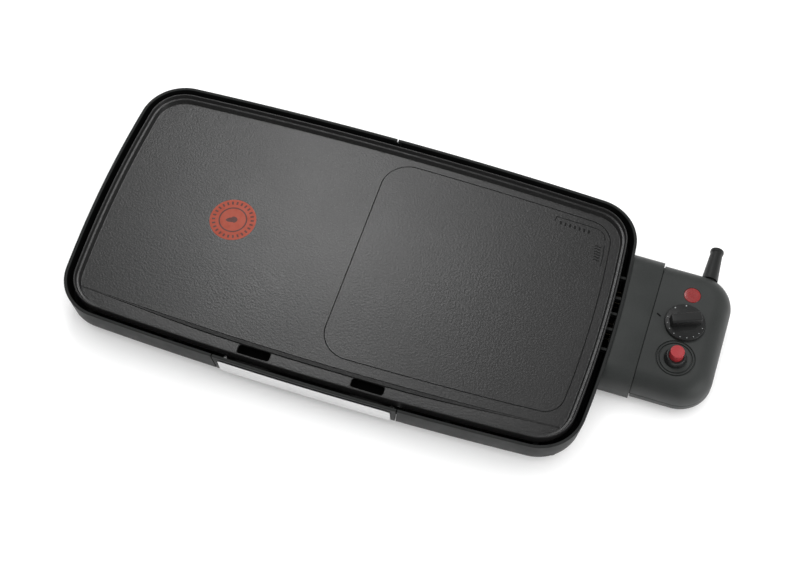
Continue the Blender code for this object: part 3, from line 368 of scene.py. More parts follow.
def mirror_x(station):
    return (-station[0], station[1], station[2], math.pi - station[3])


def mirror_y(station):
    return (station[0], -station[1], station[2], -station[3])


def whole_outline():
    first = quadrant()
    stations = list(first)
    stations += [mirror_x(s) for s in reversed(first)][1:]
    stations += [mirror_x(mirror_y(s)) for s in first][1:]
    stations += [mirror_y(s) for s in reversed(first)][1:-1]
    return stations


def place(station, offset):
    """Point of the outline at a station, moved inwards by offset."""
    reach = station[2] - offset
    return (station[0] + reach * math.cos(station[3]), station[1] + reach * math.sin(station[3]))


def long_side_station(x, side):
    centre_y = side * (HALF_WIDTH - LONG_SIDE_R)
    return (0.0, centre_y, LONG_SIDE_R, side * math.acos(x / LONG_SIDE_R))


def frame_edge_x(y, offset):
    return HALF_LENGTH - SHORT_SIDE_R + math.sqrt((SHORT_SIDE_R - offset) ** 2 - y * y)


# ---------------------------------------------------------------- mesh tools

def eased(corners, steps=3, closed=True):
    """Outline whose corners are rounded: each corner is (a, b) or (a, b, radius)."""
    points = []
    count = len(corners)
    for i, corner in enumerate(corners):
        here = Vector(corner[:2])
        radius = corner[2] if len(corner) > 2 else 0.0
        at_end = not closed and i in (0, count - 1)
        if not radius or at_end:
            points.append(tuple(here))
            continue
        before = (Vector(corners[i - 1][:2]) - here).normalized()
        after = (Vector(corners[(i + 1) % count][:2]) - here).normalized()
        half = before.angle(after) / 2
        centre = here + (before + after).normalized() * radius / math.sin(half)
        reach = radius / math.tan(half)
        start = here + before * reach - centre
        end = here + after * reach - centre
        first = math.atan2(start.y, start.x)
        turn = (math.atan2(end.y, end.x) - first + math.pi) % (2 * math.pi) - math.pi
        for k in range(steps + 1):
            angle = first + turn * k / steps
            points.append((centre.x + radius * math.cos(angle), centre.y + radius * math.sin(angle)))
    return points


def skin(bm, rings, joined=False, caps=True):
    """Skin a run of equal closed rings; its ends are capped, or joined to each other."""
    rows = [[bm.verts.new(p) for p in ring] for ring in rings]
    count = len(rows[0])
    pairs = list(zip(rows, rows[1:]))
    if joined:
        pairs.append((rows[-1], rows[0]))
    for low, high in pairs:
        for i in range(count):
            j = (i + 1) % count
            bm.faces.new((low[i], low[j], high[j], high[i]))
    if caps and not joined:
        bm.faces.new(list(reversed(rows[0])))
        bm.faces.new(rows[-1])


def strip_skin(bm, rings):
    """Skin thin walls: a ring goes out along one face and back along the other, with quad caps."""
    rows = [[bm.verts.new(p) for p in ring] for ring in rings]
    count = len(rows[0])
    for low, high in zip(rows, rows[1:]):
        for i in range(count):
            j = (i + 1) % count
            bm.faces.new((low[i], low[j], high[j], high[i]))
    for row in (rows[0], rows[-1]):
        for i in range(count // 2 - 1):
            bm.faces.new((row[i], row[i + 1], row[count - 2 - i], row[count - 1 - i]))


def spun_point(radius, along, angle, axis, centre):
    u, v = radius * math.cos(angle), radius * math.sin(angle)
    local = {"Z": (u, v, along), "Y": (v, along, u), "X": (along, u, v)}[axis]
    return tuple(a + b for a, b in zip(local, centre))


def turned(bm, profile, centre, axis="Z", sides=64, bored=False):
    """Solid of revolution from (radius, along) points: closed round a bore, or capped on its axis."""
    rings = []
    if bored:
        for i in range(sides):
            angle = 2 * math.pi * i / sides
            rings.append([spun_point(r, a, angle, axis, centre) for r, a in profile])
        skin(bm, rings, joined=True)
        return
    angles = [2 * math.pi * i / sides for i in range(sides)]
    for radius, along in profile:
        rings.append([spun_point(radius, along, angle, axis, centre) for angle in angles])
    skin(bm, rings)


def block(bm, x, y, depths):
    """Plain block between two x, two y and two depths, for ribs, rails and cutters."""
    size = Vector((x[1] - x[0], y[1] - y[0], depths[1] - depths[0]))
    centre = Vector(((x[0] + x[1]) / 2, (y[0] + y[1]) / 2, at_depth((depths[0] + depths[1]) / 2)))
    bmesh.ops.create_cube(bm, size=1.0, matrix=Matrix.Translation(centre) @ Matrix.Diagonal((*size, 1.0)))


def plain_object(name, bm):
    bmesh.ops.remove_doubles(bm, verts=bm.verts, dist=1e-7)
    bmesh.ops.recalc_face_normals(bm, faces=bm.faces)
    mesh = bpy.data.meshes.new(name)
    bm.to_mesh(mesh)
    bm.free()
    made = bpy.data.objects.new(name, mesh)
    bpy.context.collection.objects.link(made)
    return made


def evaluated_mesh(made):
    bpy.context.view_layer.update()
    graph = bpy.context.evaluated_depsgraph_get()
    return bpy.data.meshes.new_from_object(made.evaluated_get(graph))


def combine(bm, tool_bm, operation):
    """Cut one solid from another, or weld the two, and give the result back."""
    target = plain_object("work", bm)
    tool = plain_object("tool", tool_bm)
    modifier = target.modifiers.new("edit", "BOOLEAN")
    modifier.operation = operation
    modifier.solver = "EXACT"
    modifier.use_self = operation == "UNION"
    modifier.object = tool
    result = bmesh.new()
    result.from_mesh(evaluated_mesh(target))
    bpy.data.objects.remove(target)
    bpy.data.objects.remove(tool)
    return result


def show(made, finish, body, stands_for):
    if not made.data.materials:
        made.data.materials.append(finish)
    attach(made, body)
    if stands_for:
        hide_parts(*stands_for)
    return made


def piece(name, bm, slot, body, stands_for=(), finish=None, angle=30.0, move=SHIFT):
    """Turn a finished bmesh into a named piece that rides on a body."""
    bmesh.ops.translate(bm, verts=bm.verts, vec=move)
    made = plain_object(name, bm)
    made.data.shade_smooth()
    made.data.set_sharp_from_angle(angle=math.radians(angle))
    return show(made, finish or SLOT_FINISHES[slot], body, stands_for)


# ---------------------------------------------------------------- Geometry Nodes trees

class Tree:
    """A Geometry Nodes tree with named inputs, ending in Realize Instances and Set Material."""

    def __init__(self, name, **inputs):
        self.group = bpy.data.node_groups.new(name, "GeometryNodeTree")
        face = self.group.interface
        face.new_socket("Geometry", in_out="INPUT", socket_type="NodeSocketGeometry")
        for key, value in inputs.items():
            kind = {int: "NodeSocketInt", float: "NodeSocketFloat"}.get(type(value), "NodeSocketMaterial")
            socket = face.new_socket(key.replace("_", " "), in_out="INPUT", socket_type=kind)
            socket.default_value = value
        face.new_socket("Geometry", in_out="OUTPUT", socket_type="NodeSocketGeometry")
        self.source = self.group.nodes.new("NodeGroupInput")

    def given(self, name):
        return self.source.outputs[name]

    def node(self, kind, settings=None, **values):
        made = self.group.nodes.new(kind)
        for key, value in (settings or {}).items():
            setattr(made, key, value)
        for key, value in values.items():
            socket = made.inputs[int(key[1:])] if key[0] == "_" else made.inputs[key.replace("_", " ")]
            if isinstance(value, bpy.types.NodeSocket):
                self.group.links.new(value, socket)
            else:
                socket.default_value = value
        return made.outputs[0]

    def math(self, operation, first, second=0.0):
        return self.node("ShaderNodeMath", {"operation": operation}, _0=first, _1=second)

    def end(self, shape):
        shape = self.node("GeometryNodeRealizeInstances", Geometry=shape)
        shape = self.node("GeometryNodeSetMaterial", Geometry=shape, Material=self.given("Finish"))
        out = self.group.nodes.new("NodeGroupOutput")
        self.group.links.new(shape, out.inputs[0])
        return self


def grown(name, tree, start, slot, body, stands_for=(), move=SHIFT, angle=30.0, **values):
    """Run a tree on a starting bmesh and keep its result as a plain piece."""
    seed = plain_object(name + "_seed", start)
    modifier = seed.modifiers.new("grow", "NODES")
    modifier.node_group = tree.group
    for item in tree.group.interface.items_tree:
        key = item.name.replace(" ", "_")
        if item.in_out == "INPUT" and key in values:
            modifier[item.identifier] = values[key]
    mesh = evaluated_mesh(seed)
    mesh.name = name
    seed.modifiers.remove(modifier)
    bpy.data.objects.remove(seed)
    bm = bmesh.new()
    bm.from_mesh(mesh)
    bmesh.ops.translate(bm, verts=bm.verts, vec=move)
    bmesh.ops.recalc_face_normals(bm, faces=bm.faces)
    bm.to_mesh(mesh)
    bm.free()
    mesh.shade_smooth()
    mesh.set_sharp_from_angle(angle=math.radians(angle))
    made = bpy.data.objects.new(name, mesh)
    bpy.context.collection.objects.link(made)
    return show(made, values["Finish"], body, stands_for)


def ring_points(t, angle, count):
    """Points on a circle round the origin, at the angles that the index gives."""
    x = t.math("MULTIPLY", t.math("COSINE", angle), t.given("Ring Radius"))
    y = t.math("MULTIPLY", t.math("SINE", angle), t.given("Ring Radius"))
    spot = t.node("ShaderNodeCombineXYZ", X=x, Y=y)
    return t.node("GeometryNodePoints", Count=t.given(count), Position=spot)


def cube(t, x, y, z):
    return t.node("GeometryNodeMeshCube", Size=t.node("ShaderNodeCombineXYZ", X=x, Y=y, Z=z))


def moved(t, shape, z):
    return t.node("GeometryNodeTransform", Geometry=shape, Translation=t.node("ShaderNodeCombineXYZ", Z=z))


def dot_ring_tree():
    """Raised dots on part of a circle: a dial's marks."""
    t = Tree("dial_dots", Dots=9, Ring_Radius=0.0175, First_Angle=0.0, Step_Angle=0.38, Dot_Radius=0.0005,
             Dot_Height=0.0002, Finish=WHITE_PRINT)
    index = t.node("GeometryNodeInputIndex")
    angle = t.math("ADD", t.given("First Angle"), t.math("MULTIPLY", index, t.given("Step Angle")))
    points = ring_points(t, angle, "Dots")
    dot = t.node("GeometryNodeMeshCylinder", Vertices=12, Radius=t.given("Dot Radius"),
                 Depth=t.given("Dot Height"))
    copies = t.node("GeometryNodeInstanceOnPoints", Points=points, Instance=dot)
    return t.end(copies)


def dash_ring_tree():
    """Short radial dashes set round a circle: the rim of the heat mark."""
    t = Tree("radial_dashes", Dashes=24, Ring_Radius=0.0194, Dash_Length=0.0033, Dash_Width=0.0017,
             Dash_Height=0.0001, Finish=DARK_PRINT)
    index = t.node("GeometryNodeInputIndex")
    angle = t.math("MULTIPLY", index, t.math("DIVIDE", 2 * math.pi, t.given("Dashes")))
    points = ring_points(t, angle, "Dashes")
    dash = cube(t, t.given("Dash Length"), t.given("Dash Width"), t.given("Dash Height"))
    turn = t.node("ShaderNodeCombineXYZ", Z=angle)
    copies = t.node("GeometryNodeInstanceOnPoints", Points=points, Instance=dash, Rotation=turn)
    return t.end(copies)


def bar_row_tree():
    """Small bars of one size at given points: the ribs in the gap beside the plate."""
    t = Tree("rib_row", Rib_Length=0.0080, Rib_Width=0.0025, Rib_Height=0.0053, Finish=FRAME_PLASTIC)
    bar = cube(t, t.given("Rib Length"), t.given("Rib Width"), t.given("Rib Height"))
    copies = t.node("GeometryNodeInstanceOnPoints", Points=t.given("Geometry"), Instance=bar)
    return t.end(copies)


def screw_tree():
    """Pan-head screws with a cross recess at given points, heads downwards."""
    t = Tree("pan_head_screws", Head_Radius=0.0036, Head_Height=0.0022, Shank_Radius=0.0016,
             Shank_Length=0.008, Recess=0.0007, Finish=SCREW_STEEL)
    dome = t.node("GeometryNodeMeshUVSphere", Segments=24, Rings=12, Radius=t.given("Head Radius"))
    squash = t.math("DIVIDE", t.given("Head Height"), t.given("Head Radius"))
    size = t.node("ShaderNodeCombineXYZ", X=1.0, Y=1.0, Z=squash)
    dome = t.node("GeometryNodeTransform", Geometry=dome, Scale=size)
    wide = t.math("MULTIPLY", t.given("Head Radius"), 2.4)
    cutter = moved(t, cube(t, wide, wide, wide), t.math("MULTIPLY", wide, 0.5))
    depth = t.math("MULTIPLY", t.given("Head Height"), 1.5)
    long = t.math("MULTIPLY", t.given("Head Radius"), 1.1)
    low = t.math("MULTIPLY", t.given("Head Height"), -1.15)
    cross_x = moved(t, cube(t, long, t.given("Recess"), depth), low)
    cross_y = moved(t, cube(t, t.given("Recess"), long, depth), low)
    head = dome
    for tool in (cutter, cross_x, cross_y):
        made = t.group.nodes.new("GeometryNodeMeshBoolean")
        made.operation = "DIFFERENCE"
        t.group.links.new(head, made.inputs["Mesh 1"])
        t.group.links.new(tool, made.inputs["Mesh 2"])
        head = made.outputs["Mesh"]
    shank = t.node("GeometryNodeMeshCylinder", Vertices=16, Radius=t.given("Shank Radius"),
                   Depth=t.given("Shank Length"))
    shank = moved(t, shank, t.math("MULTIPLY", t.given("Shank Length"), 0.5))
    join = t.group.nodes.new("GeometryNodeJoinGeometry")
    t.group.links.new(head, join.inputs[0])
    t.group.links.new(shank, join.inputs[0])
    copies = t.node("GeometryNodeInstanceOnPoints", Points=t.given("Geometry"), Instance=join.outputs[0])
    return t.end(copies)


def rod_tree():
    """Round rod along a path whose bends are rounded: a heating element's tube."""
    t = Tree("bent_rod", Rod_Radius=ELEMENT_R, Sides=20, Finish=ELEMENT_STEEL)
    path = t.node("GeometryNodeMeshToCurve", Mesh=t.given("Geometry"))
    ring = t.node("GeometryNodeCurvePrimitiveCircle", Resolution=t.given("Sides"),
                  Radius=t.given("Rod Radius"))
    rod = t.node("GeometryNodeCurveToMesh", Curve=path, Profile_Curve=ring, Fill_Caps=True)
    return t.end(rod)


DOTS = dot_ring_tree()
DASHES = dash_ring_tree()
RIBS = bar_row_tree()
SCREWS = screw_tree()
RODS = rod_tree()


def at_points(points):
    bm = bmesh.new()
    for p in points:
        bm.verts.new(p)
    return bm


# ---------------------------------------------------------------- frame

FLANGE_TOP = SKIRT_DEPTH - FLANGE_THICK
WALL_INSIDE = LIP_WIDTH + SKIRT_DRAFT * FLANGE_TOP / SKIRT_DEPTH


def lip_profile(with_flange=True):
    """Section of the frame: eased lip, drafted wall and the flange at its foot."""
    outside = [(0.0, 0.0, 0.0007), (LIP_WIDTH, 0.0, 0.0007)]
    foot = (SKIRT_DRAFT, SKIRT_DEPTH, 0.0006)
    if with_flange:
        inside = [(WALL_INSIDE, FLANGE_TOP, 0.0012), (FLANGE_INNER, FLANGE_TOP, 0.0004),
                  (FLANGE_INNER, SKIRT_DEPTH, 0.0004)]
        return eased(outside + inside + [foot])
    return eased(outside + [(LIP_WIDTH + SKIRT_DRAFT, SKIRT_DEPTH, 0.0005), foot])


def tray_edge_x(depth, gap):
    """Half-width of the opening for the tray's front panel at a depth."""
    return TRAY_HALF_TOP + gap - (TRAY_HALF_TOP - TRAY_HALF_BOTTOM) * depth / SKIRT_DEPTH


def end_ring(profile, gap, side):
    ring = []
    for offset, depth in profile:
        station = long_side_station(side * tray_edge_x(depth, gap), -1)
        ring.append((*place(station, offset), at_depth(depth)))
    return ring


def sweep_ring(profile, station):
    return [(*place(station, offset), at_depth(depth)) for offset, depth in profile]


def half_rings(profile, side):
    """Rings of one frame half, from the slit at the back round to the drip tray."""
    rings = [sweep_ring(profile, long_side_station(side * BACK_SLIT / 2, 1))]
    stations = whole_outline()
    if side < 0:
        stations = [mirror_x(s) for s in stations]
    order = sorted(stations, key=lambda s: turn_from_back(place(s, 0), side))
    for station in order:
        x, y = place(station, 0)
        beside_slit = side * x < BACK_SLIT / 2 + 0.004
        beside_tray = y < 0 and side * x < TRAY_HALF_TOP + 0.004
        if not beside_slit and not beside_tray:
            rings.append(sweep_ring(profile, station))
    rings.append(end_ring(profile, TRAY_SLIT, side))
    return rings


def turn_from_back(point, side):
    """Angle from the middle of the back, going round the right side or the left one."""
    return math.atan2(side * point[0], point[1]) % (2 * math.pi)


def leg_spots():
    return place(quadrant()[SHORT_STEPS + CORNER_STEPS // 2], LEG_OFFSET)


def frame_half(name, side, stands_for):
    bm = bmesh.new()
    skin(bm, half_rings(lip_profile(), side))
    if side > 0:
        window = bmesh.new()
        block(window, (HALF_LENGTH - 0.012, HALF_LENGTH + 0.003), (PROBE_Y - 0.0335, PROBE_Y + 0.0335),
              (0.0108, 0.0258))
        bm = combine(bm, window, "DIFFERENCE")
    x, y = leg_spots()
    top = at_depth(SKIRT_DEPTH - FLANGE_THICK / 2)
    bottom = at_depth(LEG_BOTTOM)
    leg = eased([(0.0005, bottom), (LEG_R - 0.0008, bottom, 0.0007), (LEG_R, top), (0.0005, top)],
                closed=False)
    for leg_y in (y, -y):
        turned(bm, leg, (side * x, leg_y, 0), sides=40)
    rail = sorted((side * 0.0865, side * 0.0960))
    wall = sorted((side * 0.0935, side * 0.0960))
    block(bm, rail, (-0.1375, -0.056), (0.0210, 0.0226))
    block(bm, wall, (-0.1375, -0.056), (0.0178, SKIRT_DEPTH - 0.0004))
    for station in post_stations(side):
        post(bm, station)
    if side < 0:
        slit_backing(bm)
    half = piece(name, bm, "frame_plastic", "base", stands_for)
    paint_inner_shade(half)


def paint_inner_shade(half):
    """Painted shade: near-black finish on the frame's inner wall and flange, behind the lip, standing in for
    the shade in the gap.
    """
    half.data.materials.append(PAINTED_INNER_SHADE)
    for face in half.data.polygons:
        outwards = face.center - SHIFT
        outwards.z = 0.0
        turned_in = face.normal.dot(outwards.normalized()) < -0.05
        if face.center.z < at_depth(0.0008) and (turned_in or face.normal.z > 0.5):
            face.material_index = 1


def slit_backing(bm):
    """Tongue of the left half that overlaps the right one behind the slit at the back."""
    section = [(LIP_WIDTH + 0.0001, 0.0012), (WALL_INSIDE + 0.0001, FLANGE_TOP - 0.0001),
               (0.0142, FLANGE_TOP - 0.0001), (0.0142, FLANGE_TOP - 0.0011),
               (WALL_INSIDE + 0.0011, FLANGE_TOP - 0.0011), (LIP_WIDTH + 0.0012, 0.0012)]
    skin(bm, [sweep_ring(section, long_side_station(x, 1)) for x in (-0.004, 0.0, 0.004)])


def post_stations(side):
    stations = quadrant()
    mid_corner = stations[SHORT_STEPS + CORNER_STEPS - 2]
    spots = [mid_corner, mirror_y(mid_corner), long_side_station(0.110, 1), long_side_station(0.140, -1)]
    return [s if side > 0 else mirror_x(s) for s in spots]


def post(bm, station):
    """Post that carries the plate's rim, standing on the flange."""
    inner = 0.0135
    turn = 0.0025 / (station[2] - inner)
    rings = []
    for depth in (PLATE_UNDER + 0.0003, SKIRT_DEPTH - FLANGE_THICK / 2):
        ring = []
        for offset, swing in ((LIP_WIDTH, -turn), (LIP_WIDTH, turn), (inner, turn), (inner, -turn)):
            ring.append((*place((*station[:3], station[3] + swing), offset), at_depth(depth)))
        rings.append(ring)
    skin(bm, rings)


def gap_ribs():
    rows = (0.0629, 0.0396, 0.0218, 0.0044, -0.0181)
    points = [(HALF_LENGTH - 0.0054 - y * y / (2 * SHORT_SIDE_R), y, at_depth(0.00815)) for y in rows]
    grown("gap_ribs", RIBS, at_points(points), "frame_plastic", "base", Rib_Length=0.0080, Rib_Width=0.0025,
          Rib_Height=0.0053, Finish=FRAME_PLASTIC)


# ---------------------------------------------------------------- cooking plate

def rim_profile():
    """Rim from the underside over its crest, down the riser to the ledge and the step inside it."""
    edge = PLATE_OFFSET
    return eased([
        (edge + 0.0008, PLATE_UNDER),
        (edge, PLATE_UNDER - 0.0012, 0.0006),
        (edge, -PLATE_RISE, 0.0006),
        (edge + 0.0015, -PLATE_RISE, 0.0007),
        (edge + 0.0026, 0.0020, 0.0004),
        (edge + 0.0038, 0.0021, 0.0008),
        (edge + 0.0049, 0.0023, 0.0004),
        (edge + 0.0066, COOK_DEPTH, 0.0003),
        (edge + 0.0076, COOK_DEPTH),
    ], closed=False)


def soft_step(value):
    share = min(max(value, 0.0), 1.0)
    return share * share * (3 - 2 * share)


def gutter_section(x):
    """Cutter section of the front gutter at x: floor, low step, narrow shelf and upper step."""
    share = soft_step((GUTTER_REACH - abs(x)) / 0.15)
    floor = COOK_DEPTH + 0.0006 + (GUTTER_DROP - 0.0006) * share
    shelf = COOK_DEPTH + 0.0003 + 0.0004 * share
    inner = GUTTER_INNER - 0.0006 - (GUTTER_STEP - 0.0006) * share
    return [(0.0122, -0.001), (GUTTER_INNER + 0.0002, -0.001), (GUTTER_INNER + 0.0002, COOK_DEPTH - 0.0002),
            (GUTTER_INNER, shelf), (inner, shelf + 0.0003 * share), (inner - 0.0004, floor), (0.0122, floor)]


def gutter_cutter():
    bm = bmesh.new()
    reach = 0.2495
    rings = []
    for i in range(57):
        x = -reach + 2 * reach * i / 56
        rings.append(sweep_ring(gutter_section(x), long_side_station(x, -1)))
    skin(bm, rings)
    bounds = bmesh.new()
    rings = []
    for depth in (-0.005, 0.012):
        ring = []
        for s in whole_outline():
            x, y = place(s, GUTTER_INNER)
            share = soft_step((GUTTER_REACH - 0.004 - abs(x)) / 0.030) if y < 0 else 0.0
            ring.append((*place(s, PLATE_OFFSET + 0.0060 - 0.0034 * share), at_depth(depth)))
        rings.append(ring)
    skin(bounds, rings)
    return combine(bm, bounds, "INTERSECT")


def plate_rings():
    return [sweep_ring_of(point) for point in rim_profile()]


def sweep_ring_of(point):
    """Ring all round the griddle through one point of a section."""
    return [(*place(s, point[0]), at_depth(point[1])) for s in whole_outline()]


def slot_ring(x, length, width, depth):
    """Ring of a drain slot: a rectangle with rounded corners."""
    corners = [(sx * length / 2, sy * width / 2, 0.0027) for sx, sy in ((1, -1), (1, 1), (-1, 1), (-1, -1))]
    return [(x + px, SLOT_Y + py, at_depth(depth)) for px, py in eased(corners, steps=6)]


def drain_cutters():
    bm = bmesh.new()
    for side in (-1, 1):
        x = side * SLOT_X
        rings = [slot_ring(x, SLOT_LENGTH, SLOT_WIDTH, 0.02),
                 slot_ring(x, SLOT_LENGTH, SLOT_WIDTH, COOK_DEPTH + GUTTER_DROP + 0.0006),
                 slot_ring(x, SLOT_LENGTH + 0.0022, SLOT_WIDTH + 0.0022, COOK_DEPTH + GUTTER_DROP - 0.0005)]
        skin(bm, rings)
    return bm


def parallel_y(x, offset, side):
    """Y of the outline's long side at x, moved inwards by offset."""
    return side * (HALF_WIDTH - LONG_SIDE_R + math.sqrt((LONG_SIDE_R - offset) ** 2 - x * x))


def zone_outline():
    """Closed plan line of the booster zone."""
    far, near, right = 0.0238, 0.0408, 0.0252
    corners = [(GROOVE_LEFT, parallel_y(0.0, near, -1), 0.0285)]
    for i in range(1, 12):
        x = 0.200 * i / 12
        corners.append((x + 0.012, parallel_y(x + 0.012, near, -1)))
    corners.append((frame_edge_x(-0.1035, right), parallel_y(0.242, near, -1), 0.020))
    for i in range(1, 8):
        y = -0.085 + 0.165 * i / 8
        corners.append((frame_edge_x(y, right), y))
    corners.append((frame_edge_x(0.118, right), parallel_y(0.236, far, 1), 0.0240))
    for i in range(11, 0, -1):
        x = 0.200 * i / 12 + 0.012
        corners.append((x, parallel_y(x, far, 1)))
    corners.append((GROOVE_LEFT, parallel_y(0.0, far, 1), 0.0285))
    return eased(corners, steps=14)


def groove_ring(outline, width, depth):
    """Closed strip that follows an outline: a V below the surface, ready to be cut."""
    bm = bmesh.new()
    rings = []
    count = len(outline)
    above = at_depth(COOK_DEPTH - 0.0004)
    below = at_depth(COOK_DEPTH + depth)
    for i, point in enumerate(outline):
        before = Vector(outline[i - 1])
        after = Vector(outline[(i + 1) % count])
        ahead = (after - before).normalized()
        out = Vector((ahead.y, -ahead.x))
        here = Vector(point)
        left = here - out * width / 2
        right = here + out * width / 2
        rings.append([(left.x, left.y, above), (right.x, right.y, above), (here.x, here.y, below)])
    skin(bm, rings, joined=True)
    return bm


def cooking_plate():
    bm = bmesh.new()
    skin(bm, plate_rings())
    bm = combine(bm, gutter_cutter(), "DIFFERENCE")
    bm = combine(bm, drain_cutters(), "DIFFERENCE")
    bm = combine(bm, groove_ring(zone_outline(), 0.0016, 0.0007), "DIFFERENCE")
    for side in (-1, 1):
        ys = sorted((PROBE_Y + side * 0.0027, PROBE_Y + side * 0.0052))
        block(bm, (0.2400, 0.2560), ys, (PLATE_UNDER - 0.001, PLATE_UNDER + 0.0048))
    piece("plate_casting", bm, "plate_coating", "plate", ("cooking_plate",))


def flat_mark(bm, outline, thickness=0.00006, lift=0.0):
    """Thin print on the cooking surface with the given closed plan outline."""
    base = at_depth(COOK_DEPTH) - 0.00004
    rings = [[(x, y, z) for x, y in outline] for z in (base, base + 0.00004 + thickness + lift)]
    skin(bm, rings)


def band(bm, centre, inner, outer, low, high, steps=72):
    profile = [(inner, low), (outer, low), (outer, high), (inner, high)]
    turned(bm, profile, (*centre, 0), sides=steps, bored=True)


def heat_mark():
    """Round heat indicator: print disc, ring of dashes, inner ring and a plain drop-shaped mark."""
    top = at_depth(COOK_DEPTH)
    bm = bmesh.new()
    profile = eased([(0.0005, top - 0.0001), (HEAT_MARK_R, top - 0.0001),
                     (HEAT_MARK_R, top + 0.00012, 0.00008), (0.0005, top + 0.00012)], closed=False)
    turned(bm, profile, (*HEAT_MARK, 0), sides=96)
    piece("heat_indicator_disc", bm, "red_plastic", "plate", finish=HEAT_PRINT)
    lift = Vector((HEAT_MARK[0], HEAT_MARK[1], top + 0.00014)) + SHIFT
    grown("heat_indicator_dashes", DASHES, bmesh.new(), "plate_coating", "plate", move=lift, Dashes=26,
          Ring_Radius=HEAT_MARK_R * 0.83, Dash_Length=0.0034, Dash_Width=0.0018, Dash_Height=0.00008,
          Finish=DARK_PRINT)
    bm = bmesh.new()
    band(bm, HEAT_MARK, HEAT_MARK_R * 0.555, HEAT_MARK_R * 0.615, top, top + 0.00018)
    turn = math.radians(200)
    drop = []
    for i in range(32):
        angle = 2 * math.pi * i / 32
        reach = 0.0046 * (1.0 + 0.55 * max(math.cos(angle), 0.0) ** 4)
        wide = 0.62 if math.cos(angle) > 0 else 0.8
        px, py = reach * math.cos(angle), reach * wide * math.sin(angle)
        drop.append((HEAT_MARK[0] + px * math.cos(turn) - py * math.sin(turn),
                     HEAT_MARK[1] + px * math.sin(turn) + py * math.cos(turn)))
    flat_mark(bm, drop, 0.00018)
    piece("heat_indicator_ring", bm, "plate_coating", "plate", finish=DARK_PRINT)


def stroke(bm, points, width):
    """Thin printed line of even width through plan points."""
    left, right = [], []
    for i, point in enumerate(points):
        ahead = (Vector(points[min(i + 1, len(points) - 1)]) - Vector(points[max(i - 1, 0)])).normalized()
        out = Vector((-ahead.y, ahead.x)) * width / 2
        left.append(tuple(Vector(point) + out))
        right.append(tuple(Vector(point) - out))
    base = at_depth(COOK_DEPTH) - 0.00004
    rows = []
    for side_l, side_r in zip(left, right):
        rows.append([(*side_l, base), (*side_r, base), (*side_r, base + 0.00010), (*side_l, base + 0.00010)])
    skin(bm, rows)


def zone_marks():
    """Bracket lines, plain block marks and a small wavy heat sign at the corner of the booster zone."""
    bm = bmesh.new()
    corner = eased([(0.1778, 0.1055), (0.1782, 0.1111, 0.0006), (0.2140, 0.1101), (0.2300, 0.1085, 0.012),
                    (0.2312, 0.0990)], steps=8, closed=False)
    stroke(bm, corner, 0.0009)
    for i in range(7):
        x = 0.1838 + i * 0.0049
        y = 0.1052 - i * 0.00025
        stroke(bm, [(x, y + 0.0019), (x + 0.0006, y - 0.0019)], 0.0019)
    for i in range(6):
        y = 0.0900 - i * 0.0031
        x = 0.2262 + i * 0.0004
        wave = [(x - 0.0030, y), (x - 0.0008, y + 0.0007), (x + 0.0012, y - 0.0003),
                (x + 0.0032, y + 0.0003)]
        stroke(bm, wave, 0.0011)
    stroke(bm, [(0.2322, 0.0930), (0.2334, 0.0820), (0.2342, 0.0695)], 0.0008)
    piece("zone_marks", bm, "plate_coating", "plate", finish=FAINT_PRINT)


def bend_points(centre, radius, start, end, steps):
    points = []
    for i in range(steps + 1):
        angle = start + (end - start) * i / steps
        points.append((centre[0] + radius * math.cos(angle), centre[1] + radius * math.sin(angle)))
    return points


def element_route(lead, left_x, near_y, far_y, bend, tail_y):
    """Plan route of a U-shaped element: in from one terminal, round, and back to the other."""
    quarter = math.pi / 2
    turn_x = ELEMENT_END_X - lead
    run = [(ELEMENT_END_X, tail_y[0]), (turn_x, tail_y[0])]
    run += bend_points((turn_x - bend, tail_y[0] - bend), bend, quarter, quarter * 2, 8)
    run += bend_points((turn_x - 3 * bend, near_y + bend), bend, 0, -quarter, 8)
    run += bend_points((left_x + bend, near_y + bend), bend, -quarter, -2 * quarter, 8)
    run += bend_points((left_x + bend, far_y - bend), bend, 2 * quarter, quarter, 8)
    run += bend_points((turn_x - 3 * bend, far_y - bend), bend, quarter, 0, 8)
    run += bend_points((turn_x - bend, tail_y[1] + bend), bend, -2 * quarter, -quarter, 8)
    run += [(turn_x, tail_y[1]), (ELEMENT_END_X, tail_y[1])]
    return run


def heating_elements():
    depth = PLATE_UNDER + 0.0003 + ELEMENT_R
    routes = {
        "main_heating_element": element_route(0.012, -0.222, -0.098, 0.102, 0.011, (0.001, 0.049)),
        "booster_heating_element": element_route(0.045, 0.030, -0.058, 0.078, 0.0055, (0.013, 0.037)),
    }
    for name, route in routes.items():
        bm = bmesh.new()
        verts = [bm.verts.new((x, y, at_depth(depth))) for x, y in route]
        for first, second in zip(verts, verts[1:]):
            bm.edges.new((first, second))
        grown(name.replace("heating_element", "element_tube"), RODS, bm, "element_steel", "plate", (name,),
              Rod_Radius=ELEMENT_R, Sides=20, Finish=ELEMENT_STEEL)


# ---------------------------------------------------------------- drip tray

def tray_front():
    profile = lip_profile(with_flange=False)
    rings = [end_ring(profile, 0.0, -1)]
    for i in range(1, 24):
        rings.append(sweep_ring(profile, long_side_station(-0.0895 + 0.179 * i / 24, -1)))
    rings.append(end_ring(profile, 0.0, 1))
    bm = bmesh.new()
    skin(bm, rings)
    block(bm, (-0.0900, 0.0900), (-HALF_WIDTH + 0.0048, -0.1379), (0.0262, 0.0275))
    block(bm, (-0.0860, 0.0860), (-0.1390, -0.1348), (0.0263, 0.0274))
    for side in (-1, 1):
        xs = sorted((side * 0.060, side * 0.070))
        block(bm, xs, (-HALF_WIDTH + 0.0045, -0.1348), (0.0225, 0.0272))
    # The panel's inner faces get the same painted shade.
    paint_inner_shade(piece("tray_front_panel", bm, "frame_plastic", "tray", ("drip_tray_front",)))


